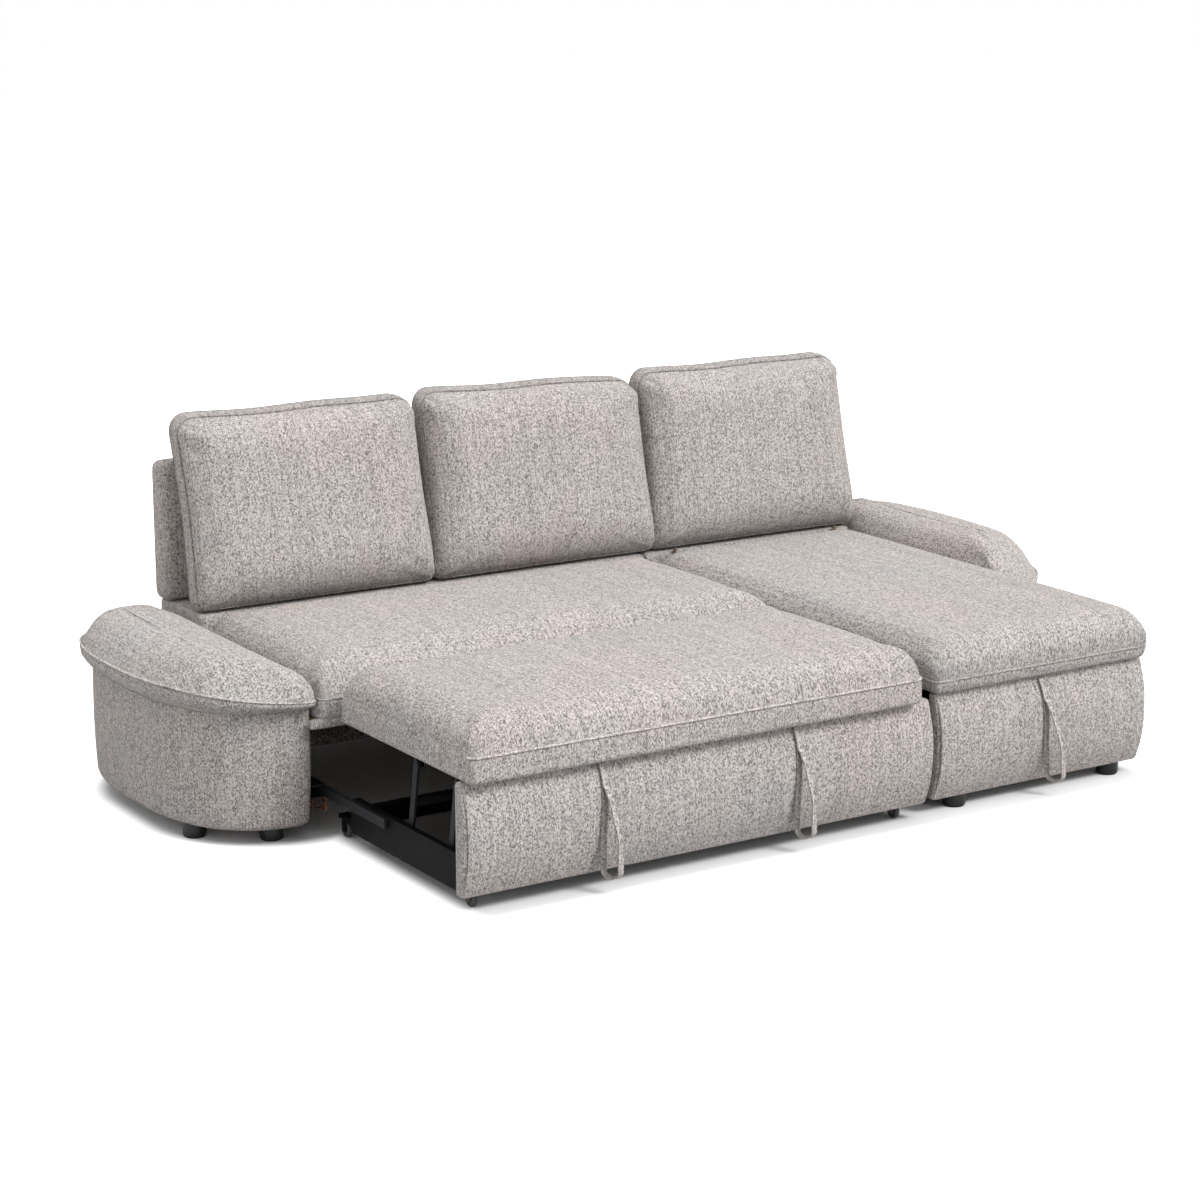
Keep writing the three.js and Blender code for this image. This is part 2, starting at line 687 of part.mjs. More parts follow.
// Padded lid of the chaise, with hinge eyes on its board
function buildLid() {
  const front = fromFront(chaiseSetback);
  const panelRear = front + panelThickness;
  const rear = fromFront(lidRearSetback);
  const seamY = lidHingeY;
  const boardBottom = boxTop + gap;
  const boardTop = boardBottom + lidBoardThickness;
  const board = block(chaiseLeft + sideClearance, chaiseRight - sideClearance,
    panelRear + sideClearance, rear - gap, boardBottom, boardTop);
  const eyes = [];
  const bores = [];
  for (const [x, inward] of [[chaiseLeft + hingeInset, 1], [chaiseRight - hingeInset, -1]]) {
    const start = x + inward * (hingePlateThickness / 2 + sideClearance);
    const end = start + inward * hingePlateThickness;
    const [x0, x1] = [Math.min(start, end), Math.max(start, end)];
    eyes.push(block(x0, x1, rear - overrun, seamY + hingePlateWidth / 2, boardBottom, boardTop));
    eyes.push(block(x0, x1, rear + gap, seamY + hingePlateWidth / 2, boardBottom,
      hingeHeight + hingePlateWidth * 0.6));
    bores.push(barX(x0 - overrun, x1 + overrun, seamY, hingeHeight, hingePinRadius + 0.3, 12));
  }
  // brackets that the strut heads stand beside
  for (const [x, inward] of [[chaiseLeft + boardThickness, 1], [chaiseRight - boardThickness, -1]]) {
    const start = x + inward * (strutSideGap + strutEyeThickness + sideClearance);
    const end = start + inward * hingePlateThickness;
    const y = strutHeadY;
    eyes.push(block(Math.min(start, end), Math.max(start, end), y - lugWidth / 2, y + lugWidth / 2,
      strutHeadHeight - lugWidth / 2, boardBottom + overrun));
  }
  addMesh('lid_board', joined([board, ...eyes], bores), plywood);

  const depth = rear - front;
  const outline = drawnOutline(lidWidth, depth, mattressCorner, 0, 5);
  const lid = padSolid(outline, boardTop + gap, seatHeight - lidCrown, lidRoll, lidCrown);
  addMesh('lid_cushion', lid.translate(lidLeft + lidWidth / 2, (front + rear) / 2, 0), tweed);
}

// Gas struts between the chaise sides and the lid
function buildStruts() {
  const foot = new THREE.Vector2(strutFootY, strutFootHeight);
  const head = new THREE.Vector2(strutHeadY, strutHeadHeight);
  const along = head.clone().sub(foot);
  const reach = along.length();
  const tilt = Math.atan2(along.x, along.y);
  const sides = [['left', chaiseLeft + boardThickness, 1], ['right', chaiseRight - boardThickness, -1]];
  for (const [name, inner, inward] of sides) {
    const x = inner + inward * (strutSideGap + strutEyeThickness / 2);
    const group = new THREE.Group();
    group.position.set(x, foot.x, foot.y);
    group.rotation.x = -tilt;
    sofa.add(group);
    const barrelStart = strutEyeRadius;
    const barrelEnd = barrelStart + strutCylinderLength;
    const barrel = new THREE.LatheGeometry([
      [0, barrelStart], [strutCylinderRadius, barrelStart], [strutCylinderRadius, barrelEnd],
      [strutBore, barrelEnd], [strutBore, barrelStart + strutWall], [0, barrelStart + strutWall],
    ].map(point => new THREE.Vector2(...point)), 16).rotateX(Math.PI / 2);
    const eye = barX(-strutEyeThickness / 2, strutEyeThickness / 2, 0, 0, strutEyeRadius);
    const neck = new THREE.BoxGeometry(strutEyeThickness, strutEyeThickness, strutEyeRadius + strutWall);
    neck.translate(0, 0, (strutEyeRadius + strutWall) / 2);
    const bore = barX(-strutEyeThickness, strutEyeThickness, 0, 0, pivotBore);
    addMesh(`${name}_strut_cylinder`, joined([barrel, eye, neck], [bore]), blackPlastic, group);
    const rodStart = barrelStart + strutWall + gap;
    const rod = new THREE.CylinderGeometry(strutRodRadius, strutRodRadius, reach - rodStart, 12);
    rod.rotateX(Math.PI / 2).translate(0, 0, (reach + rodStart) / 2);
    const tip = barX(-strutEyeThickness / 2, strutEyeThickness / 2, 0, reach, strutEyeRadius);
    addMesh(`${name}_strut_rod`, joined([rod, tip]), brightSteel, group);
  }
}

// Bed carriage: barrel panel, side boards with pivot pins, rails, floor, forks and wheels
function buildCarriage() {
  addMesh('bed_front_panel', barrelPanel(bedLeft, bedRight, frontY, panelBottom, panelTop), tweed);
  const boardFront = frontY + panelThickness + gap;
  const boardRear = fromFront(sideBoardRear);
  const floorFront = boardFront;
  const leftOuter = bedLeft + carriageSideInset;
  const rightOuter = bedRight - carriageSideInset;
  const leftInner = leftOuter + boardThickness;
  const rightInner = rightOuter - boardThickness;
  const pivots = [frontPivotSetback, rearPivotSetback];
  const pinReach = sideClearance + liftArmThickness;
  const boardSides = [['left', leftOuter, leftInner, 1], ['right', rightInner, rightOuter, -1]];
  for (const [name, x0, x1, inward] of boardSides) {
    const face = [
      [boardFront, sideBoardBottom],
      [boardRear, sideBoardBottom],
      [boardRear, sideBoardTop],
      [boardFront, sideBoardTop],
    ];
    const rearCorners = rounded(face, sideBoardRadius).filter(([y]) => y > boardFront + sideBoardRadius);
    const outline = [face[0], ...rearCorners, face[3]];
    const shape = new THREE.Shape(outline.map(point => new THREE.Vector2(...point)));
    const board = alongX(new THREE.ExtrudeGeometry(shape, { depth: boardThickness, bevelEnabled: false }));
    board.translate(x0, 0, 0);
    const inner = inward > 0 ? x1 : x0;
    const tip = inner + inward * pinReach;
    const root = inner - inward * weld;
    const pins = pivots.map(setback => barX(Math.min(root, tip), Math.max(root, tip),
      fromFront(setback), liftPivotHeight, pivotRadius));
    addMesh(`carriage_${name}_board`, joined([board, ...pins]), blackBoard);
  }

  // wheels in forks: two cheeks and an axle, hung from the board above them
  const wheelXs = [bedLeft + wheelInset, bedRight - wheelInset];
  const fork = (x, y, plateZ) => {
    const inside = wheelWidth / 2 + forkSideGap;
    const cheek = side => block(
      x + Math.min(side * inside, side * (inside + forkThickness)),
      x + Math.max(side * inside, side * (inside + forkThickness)),
      y - wheelRadius * 0.45, y + wheelRadius * 0.45, wheelRadius - axleRadius * 1.6, plateZ + weld);
    return [cheek(-1), cheek(1), barX(x - inside - forkThickness, x + inside + forkThickness, y,
      wheelRadius, axleRadius, 12)];
  };
  const floorTop = carriageFloorBottom + carriageFloorThickness;
  const railFront = fromFront(rearRailSetback);
  const floor = block(leftInner + gap, rightInner - gap, floorFront, railFront - gap,
    carriageFloorBottom, floorTop);
  const frontY2 = fromFront(frontWheelSetback);
  const frontForks = wheelXs.flatMap(x => fork(x, frontY2, carriageFloorBottom));
  addMesh('carriage_floor', joined([floor, ...frontForks]), greyBoard);
  const rail = block(leftInner + gap, rightInner - gap, railFront, railFront + boardThickness,
    sideBoardBottom, rearRailTop);
  const rearWheelY = fromFront(rearWheelSetback);
  const outriggers = wheelXs.map(x => block(x - wheelWidth, x + wheelWidth,
    railFront + boardThickness - weld, rearWheelY + wheelRadius, carriageFloorBottom, floorTop));
  const rearForks = wheelXs.flatMap(x => fork(x, rearWheelY, carriageFloorBottom));
  addMesh('carriage_rear_rail', joined([rail, ...outriggers, ...rearForks]), blackBoard);

  const profile = [
    [wheelBore, -wheelWidth / 2], [wheelRadius * 0.8, -wheelWidth / 2],
    [wheelRadius, -wheelWidth * 0.28], [wheelRadius, wheelWidth * 0.28],
    [wheelRadius * 0.8, wheelWidth / 2], [wheelBore, wheelWidth / 2], [wheelBore, -wheelWidth / 2],
  ].map(point => new THREE.Vector2(...point));
  const spots = [['front_left', 0, frontY2], ['front_right', 1, frontY2],
    ['rear_left', 0, rearWheelY], ['rear_right', 1, rearWheelY]];
  for (const [name, index, y] of spots) {
    const wheel = new THREE.LatheGeometry(profile, 20).rotateZ(-Math.PI / 2);
    const mesh = addMesh(`${name}_wheel`, wheel, rubber);
    mesh.position.set(wheelXs[index], y, wheelRadius);
  }

  // guide bars on the side boards run back into rails in the bay
  const barTop = guideBarBottom + guideBarHeight;
  const barY = [fromFront(guideBarFront), fromFront(guideBarRear)];
  const railY = [fromFront(guideRailFront), fromFront(rearDeckSetback - guideRailInset)];
  const wallRight = chaiseLeft - unitGap - boardThickness;
  const sides = [['left', leftOuter, -1, -halfInner], ['right', rightOuter, 1, wallRight]];
  for (const [name, outer, outward, wall] of sides) {
    const near = outer + outward * gap;
    const far = near + outward * guideBarThickness;
    const barX0 = Math.min(near, far);
    const barX1 = Math.max(near, far);
    addMesh(`${name}_guide_bar`, block(barX0, barX1, ...barY, guideBarBottom, barTop), greySteel);
    const mouth = outer + outward * guideMouthGap;
    const web = wall - outward * gap;
    const railBottom = guideBarBottom - guideClearance - guideWall;
    const railTop = barTop + guideClearance + guideWall;
    const body = block(Math.min(mouth, web), Math.max(mouth, web), ...railY, railBottom, railTop);
    const slotEnd = web - outward * guideWall;
    const slotStart = mouth - outward * overrun;
    const slot = block(Math.min(slotStart, slotEnd), Math.max(slotStart, slotEnd),
      railY[0] - overrun, railY[1] + overrun,
      guideBarBottom - guideClearance, barTop + guideClearance);
    const extras = [];
    if (name === 'left') {
      // bracket that holds the rear end of the buffer spring
      const springX = -halfInner + springInset;
      const bracketY = fromFront(springFront + springLength) + springWire / 2 + gap;
      extras.push(block(springX - hookRadius, springX + hookRadius, bracketY, bracketY + guideWall,
        springHeight - hookRadius, railBottom + weld));
    }
    addMesh(`${name}_guide_rail`, joined([body, ...extras], [slot]), greySteel);
  }
}

// Parallel lift arms, the board that they carry and its mattress
function liftArm(x0) {
  const half = liftArmWidth / 2;
  const shape = new THREE.Shape();
  shape.absarc(0, liftArmLength, half, 0, Math.PI, false);
  shape.absarc(0, 0, half, Math.PI, 2 * Math.PI, false);
  for (const height of [0, liftArmLength]) {
    const hole = new THREE.Path();
    hole.absarc(0, height, pivotBore, 0, 2 * Math.PI, true);
    shape.holes.push(hole);
  }
  const bar = new THREE.ExtrudeGeometry(shape, {
    depth: liftArmThickness, bevelEnabled: false, curveSegments: 8,
  });
  return alongX(bar).translate(x0, 0, 0);
}

function buildLift() {
  const leftBoard = bedLeft + carriageSideInset + boardThickness;
  const rightBoard = bedRight - carriageSideInset - boardThickness;
  const armLeft = leftBoard + sideClearance;
  const armRight = rightBoard - sideClearance - liftArmThickness;
  const lean = radians(liftRestDeg);
  for (const [row, setback] of [['front', frontPivotSetback], ['rear', rearPivotSetback]]) {
    const group = new THREE.Group();
    group.position.set(0, fromFront(setback), liftPivotHeight);
    group.rotation.x = lean;
    sofa.add(group);
    addMesh(`${row}_left_lift_arm`, liftArm(armLeft), greySteel, group);
    addMesh(`${row}_right_lift_arm`, liftArm(armRight), greySteel, group);
    if (row === 'rear') {
      const start = armLeft + liftArmThickness + gap;
      const tube = barX(start, armRight - gap, 0, liftArmLength * torsionTubeShare, torsionTubeRadius, 12);
      addMesh('torsion_tube', tube, greySteel, group);
    }
  }
  const boardTop = panelTop + sideClearance;
  const boardBottom = boardTop - bedBoardThickness;
  const boardLeft = leftBoard + bedBoardSideGap;
  const boardRight = rightBoard - bedBoardSideGap;
  const board = block(boardLeft, boardRight, fromFront(bedBoardFront), fromFront(bedBoardRear),
    boardBottom, boardTop);
  const extras = [];
  const upperZ = liftPivotHeight + liftArmLength * Math.cos(lean);
  for (const setback of [frontPivotSetback, rearPivotSetback]) {
    const y = fromFront(setback) - liftArmLength * Math.sin(lean);
    for (const [inner, inward] of [[armLeft + liftArmThickness, 1], [armRight, -1]]) {
      const start = inner + inward * sideClearance;
      const end = start + inward * lugThickness;
      extras.push(block(Math.min(start, end), Math.max(start, end), y - lugWidth / 2, y + lugWidth / 2,
        upperZ - pivotRadius * 1.4, boardBottom + weld));
      const pinEnd = inner - inward * liftArmThickness;
      const root = start + inward * weld;
      extras.push(barX(Math.min(root, pinEnd), Math.max(root, pinEnd), y, upperZ, pivotRadius));
    }
  }
  addMesh('mattress_board', joined([board, ...extras]), plywood);

  const front = frontY - mattressProud;
  const rear = fromFront(mattressRear);
  const left = bedLeft + mattressInset;
  const outline = drawnOutline(mattressWidth, rear - front, mattressCorner, 0, 5);
  const bottom = boardTop + gap;
  const pad = padSolid(outline, bottom, bottom + mattressThickness, mattressRoll, mattressCrown);
  addMesh('mattress', pad.translate(left + mattressWidth / 2, (front + rear) / 2, 0), tweed);
}

function buildStraps() {
  bedStrapShares.forEach((share, index) => {
    const x = bedLeft + bedWidth * share;
    const name = index === 0 ? 'left_pull_strap' : 'right_pull_strap';
    addMesh(name, strapLoop(x, frontY, panelBottom, panelTop), tweed);
  });
  const front = fromFront(chaiseSetback);
  const middle = (chaiseLeft + chaiseRight) / 2;
  addMesh('chaise_pull_strap', strapLoop(middle, front, bodyBottom, panelTop), tweed);
}

// Coil spring with a ringed hook, one unbroken wire
function buildSpring() {
  const x = -halfInner + springInset;
  const startY = fromFront(springFront);
  const centre = [];
  const ringSteps = 10;
  for (let step = 0; step <= ringSteps; step++) {
    const angle = Math.PI * (0.25 + 1.6 * step / ringSteps);
    centre.push([
      x,
      startY - hookRadius + hookRadius * Math.cos(angle),
      springHeight + hookRadius * Math.sin(angle),
    ]);
  }
  const turnSteps = 8;
  for (let step = 0; step <= springTurnCount * turnSteps; step++) {
    const angle = -Math.PI / 2 + 2 * Math.PI * step / turnSteps;
    const lead = springWire * 2;
    const y = startY + lead + (springLength - lead) * step / (springTurnCount * turnSteps);
    centre.push([x + springRadius * Math.cos(angle), y, springHeight + springRadius * Math.sin(angle)]);
  }
  const points = centre.map(point => new THREE.Vector3(...point));
  const sides = 5;
  const rings = points.map((point, index) => {
    const before = points[Math.max(index - 1, 0)];
    const after = points[Math.min(index + 1, points.length - 1)];
    const tangent = after.clone().sub(before).normalize();
    const across = index > ringSteps ? new THREE.Vector3(0, 1, 0) : new THREE.Vector3(1, 0, 0);
    const up = new THREE.Vector3().crossVectors(tangent, across).normalize();
    const side = new THREE.Vector3().crossVectors(up, tangent).normalize();
    const ring = [];
    for (let corner = 0; corner < sides; corner++) {
      const angle = 2 * Math.PI * corner / sides;
      const offset = side.clone().multiplyScalar(Math.cos(angle) * springWire / 2)
        .add(up.clone().multiplyScalar(Math.sin(angle) * springWire / 2));
      ring.push(point.clone().add(offset).toArray());
    }
    return ring;
  });
  const ends = [[points[0].toArray()], [points[points.length - 1].toArray()]];
  addMesh('buffer_spring', ringSolid([ends[0], ...rings, ends[1]]), copperSteel);

  // least gap of the wire to itself, between points at least half a turn apart
  let least = Infinity;
  for (let one = 0; one < points.length; one++) {
    for (let other = one + turnSteps / 2; other < points.length; other++) {
      least = Math.min(least, points[one].distanceTo(points[other]) - springWire);
    }
  }
  console.log(`spring wire, least gap to itself: ${least.toFixed(2)} mm`);
}

function buildFeet() {
  const armFront = rearY - armLength;
  const armInner = halfInner + armFootInset;
  const armOuter = halfInner + armReach - armFootInset;
  const chaiseFootY = fromFront(chaiseSetback) + footInset;
  const spots = [
    ['left_arm_front', -armInner, armFront + footInset],
    ['left_arm_side', -armOuter, armFront + armSideFootSetback],
    ['left_arm_rear', -armOuter + footSideInset, rearY - armRearFootInset],
    ['right_arm_side', armOuter, armFront + armSideFootSetback],
    ['right_arm_rear', armOuter - footSideInset, rearY - armRearFootInset],
    ['chaise_front_left', chaiseLeft + footSideInset, chaiseFootY],
    ['chaise_front_right', chaiseRight - footSideInset, chaiseFootY],
    ['bench_rear', (-halfInner + lidLeft) / 2, rearY - footInset],
    ['chaise_rear', (lidLeft + halfInner) / 2, rearY - footInset],
  ];
  for (const [name, x, y] of spots) {
    const foot = new THREE.CylinderGeometry(footRadius, footTipRadius, bodyBottom - gap, 20);
    foot.rotateX(Math.PI / 2).translate(x, y, (bodyBottom - gap) / 2);
    addMesh(`${name}_foot`, foot, blackPlastic);
  }
}

buildArm(-1);
buildArm(1);
buildBench();
buildBackCushions();
buildChaise();
buildLid();
buildStruts();
buildCarriage();
buildLift();
buildStraps();
buildSpring();
buildFeet();

export default sofa;
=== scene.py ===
"""Sleeper sofa with a pull-out bed and a storage chaise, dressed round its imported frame.

Everything is in metres, +Z up, with the sofa's front towards -Y. Each piece is a surface worked
out from two parameters on a grid, or a section carried along a path, and it sits where the
frame's nodes are.
"""

import json
import math

import bpy
import numpy as np
from bpy.props import FloatProperty, FloatVectorProperty, PointerProperty
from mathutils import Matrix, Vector


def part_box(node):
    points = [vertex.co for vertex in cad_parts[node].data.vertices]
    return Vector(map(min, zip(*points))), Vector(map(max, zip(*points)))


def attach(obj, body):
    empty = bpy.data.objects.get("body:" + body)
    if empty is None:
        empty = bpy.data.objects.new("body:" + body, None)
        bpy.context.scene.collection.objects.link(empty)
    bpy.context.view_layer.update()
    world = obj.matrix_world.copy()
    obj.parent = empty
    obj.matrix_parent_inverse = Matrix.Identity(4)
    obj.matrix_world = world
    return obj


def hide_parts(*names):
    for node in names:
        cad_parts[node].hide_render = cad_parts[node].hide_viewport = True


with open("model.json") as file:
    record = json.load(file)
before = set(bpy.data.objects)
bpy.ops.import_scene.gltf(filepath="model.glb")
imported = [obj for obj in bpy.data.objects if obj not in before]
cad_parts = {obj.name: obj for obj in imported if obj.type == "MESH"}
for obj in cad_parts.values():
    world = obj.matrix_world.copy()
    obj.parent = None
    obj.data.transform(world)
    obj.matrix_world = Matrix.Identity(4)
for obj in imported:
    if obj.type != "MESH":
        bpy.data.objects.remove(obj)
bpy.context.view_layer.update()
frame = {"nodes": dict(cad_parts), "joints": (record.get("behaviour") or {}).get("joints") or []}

bl_info = {
    "name": "Sleeper Sofa",
    "version": (1, 0, 0),
    "blender": (4, 5, 0),
    "location": "View3D > Sidebar > Sofa",
    "description": "Dresses a sleeper sofa's frame in chenille, boards and steel",
    "category": "Object",
}

# Lengths under the first count as nothing, and places closer than the second as the same
TINY = 1e-9
NEAR = 1e-6


# Sizes and colours that a user would change
def length(name, description, default, most=0.5):
    """A length in metres, from nothing to the most that makes sense"""
    return FloatProperty(name=name, description=description, default=default, min=0.0, max=most,
                         subtype="DISTANCE", unit="LENGTH", precision=4)


def colour(name, description, default):
    """A colour given as three shares of sRGB 255, kept linear"""
    linear = [((value / 255 + 0.055) / 1.055) ** 2.4 for value in default]
    return FloatVectorProperty(name=name, description=description, default=linear, min=0.0,
                               max=1.0, size=3, subtype="COLOR")


class SofaSizes(bpy.types.PropertyGroup):
    """Sizes of the sewing and padding"""

    yarn_width: length("Yarn Width", "Width of a chenille column", 0.0027)
    grid_step: length("Grid Step", "Spacing of the rows on broad faces", 0.022)
    piping_radius: length("Piping Radius", "Radius of the sewn piping", 0.0032)
    seam_depth: length("Seam Depth", "How far a seam draws the cloth in", 0.004)
    seam_width: length("Seam Width", "Half width of the dip at a seam", 0.006)
    stitch_length: length("Stitch Length", "Length of a stitch", 0.007)
    mattress_welt: length("Mattress Welt", "Height of the mattress's welt above its base", 0.060)
    mattress_roll: length("Mattress Roll", "How far in the mattress's top edge starts to roll", 0.047)
    lid_welt: length("Lid Welt", "Height of the lid's welt above its base", 0.033)
    lid_roll: length("Lid Roll", "How far in the lid's top edge starts to roll", 0.062)
    seat_welt: length("Seat Welt", "Height of the seat's welt above its base", 0.052)
    seat_roll: length("Seat Roll", "How far in the seat's top edge starts to roll", 0.085)
    cushion_corner: length("Cushion Corner", "Corner radius of a back cushion", 0.05)
    cushion_band: length("Cushion Band", "Width of a back cushion's border", 0.046)
    cushion_roll: length("Cushion Roll", "How far in a back cushion's faces start to roll", 0.06)
    strap_ridge: length("Strap Ridge", "Height of the stitched ridges on a strap", 0.0011)
    puff: length("Puff", "The most that a pad may swell when it is filled", 0.012)


class SofaColours(bpy.types.PropertyGroup):
    """Colours of the finishes"""

    cloth: colour("Cloth", "Mean colour of the chenille", (183, 177, 173))
    cloth_warm: colour("Warm Patches", "Where the pile leans one way", (188, 178, 174))
    cloth_cool: colour("Cool Patches", "Where the pile leans the other way", (179, 176, 174))
    black_board: colour("Black Board", "Laminated boards of the carriage and the platform", (13, 13, 15))
    grey_board: colour("Grey Board", "Boards in the storage box", (96, 93, 91))
    plywood: colour("Plywood", "Deck and lid boards", (168, 141, 105))
    plastic: colour("Black Plastic", "Feet and strut tubes", (16, 16, 17))
    rubber: colour("Wheel Rubber", "Caster treads", (40, 40, 43))
    steel: colour("Grey Steel", "Lift arms, guides, tube and bolt heads", (30, 31, 34))
    rod: colour("Bright Steel", "Strut rods", (196, 199, 204))
    copper: colour("Spring Wire", "Copper-tinted spring", (128, 74, 50))
    floor: colour("Floor", "Pale floor round the sofa", (244, 244, 244))


def sizes():
    """The sizes as set in the scene"""
    return bpy.context.scene.sofa_sizes


def colours():
    """The colours as set in the scene"""
    return bpy.context.scene.sofa_colours


# Shader nodes
def add_node(tree, kind, inputs=(), **settings):
    """Adds a node, with its settings, its fixed inputs and the links into it"""
    node = tree.nodes.new(kind)
    for name, value in settings.items():
        setattr(node, name, value)
    for key, value in dict(inputs).items():
        if isinstance(value, bpy.types.NodeSocket):
            tree.links.new(value, node.inputs[key])
        else:
            node.inputs[key].default_value = value
    return node


def maths(tree, operation, first, second=0.0, third=0.0):
    """Result of a Math node"""
    inputs = {0: first, 1: second, 2: third}
    return add_node(tree, "ShaderNodeMath", inputs, operation=operation).outputs[0]


def noise(tree, place, scale, detail, **more):
    """Soft noise over a place, at a scale per metre. More gives Roughness or Distortion."""
    inputs = {"Vector": place, "Scale": scale, "Detail": detail, **more}
    return add_node(tree, "ShaderNodeTexNoise", inputs).outputs[0]


def chance(tree, **inputs):
    """Chance value for a number W or for a Vector"""
    dimensions = "1D" if "W" in inputs else "3D"
    return add_node(tree, "ShaderNodeTexWhiteNoise", inputs, noise_dimensions=dimensions).outputs[0]


def grey_colour(tree, value):
    """Colour whose three parts are one value"""
    return add_node(tree, "ShaderNodeCombineColor", {0: value, 1: value, 2: value}).outputs[0]


def seen_directly(tree):
    """One where a camera's ray ends, also by way of a mirror or glass"""
    rays = add_node(tree, "ShaderNodeLightPath")
    seen = maths(tree, "ADD", rays.outputs["Is Camera Ray"], rays.outputs["Is Glossy Ray"])
    return maths(tree, "ADD", seen, rays.outputs["Is Transmission Ray"])


def mixed(tree, share, first, second, blend="MIX"):
    """Result of mixing two colours"""
    node = add_node(tree, "ShaderNodeMix", {0: share, 6: first, 7: second},
                    data_type="RGBA", blend_type=blend)
    return node.outputs[2]


def ramp(tree, value, stops):
    """Colour ramp through grey stops, each a place and a level"""
    node = add_node(tree, "ShaderNodeValToRGB", {0: value})
    elements = node.color_ramp.elements
    while len(elements) < len(stops):
        elements.new(0.5)
    for element, (place, level) in zip(elements, stops):
        element.position = place
        element.color = (level, level, level, 1.0)
    return node.outputs[0]


def new_group(name, inputs, outputs):
    """Empty shader node group with named sockets, and its two end nodes"""
    tree = bpy.data.node_groups.new(name, "ShaderNodeTree")
    for label, kind, value in inputs:
        socket = tree.interface.new_socket(name=label, in_out="INPUT", socket_type=kind)
        if value is not None:
            socket.default_value = value
    for label, kind in outputs:
        tree.interface.new_socket(name=label, in_out="OUTPUT", socket_type=kind)
    return tree, tree.nodes.new("NodeGroupInput"), tree.nodes.new("NodeGroupOutput")


# How the chenille is woven: tufts and their wander in yarn widths, the shades that a tuft may
# have, each a place in the draw and a level, the share of plain cloth colour in the tint, and
# the gain that brings the shades' mean, 0.74, back to that colour
CLOTH = {
    "wander_yarns": 0.4,
    "tuft_yarns": 1.35,
    "start_tufts": 7.0,
    "tuft_shades": [(0.0, 0.42), (0.15, 0.52), (0.35, 0.68), (0.6, 0.80), (0.85, 0.92),
                    (1.0, 1.0)],
    "plain_share": 0.45,
    "gain": 1.35,
    "contrast": 1.4,
}

# Brightness of lit and shaded copies of the same cloth: the lighter copy is a painted highlight, and the
# darker ones are painted shade; the darkest also colours the panels' thread
CLOTH_SHADES = {
    "chenille": 1.0,
    "chenille_painted_highlight": 1.1,
    "chenille_welt_painted_shade": 0.92,
    "chenille_band_painted_shade": 0.86,
    "chenille_dark_and_painted_shade": 0.62,
}


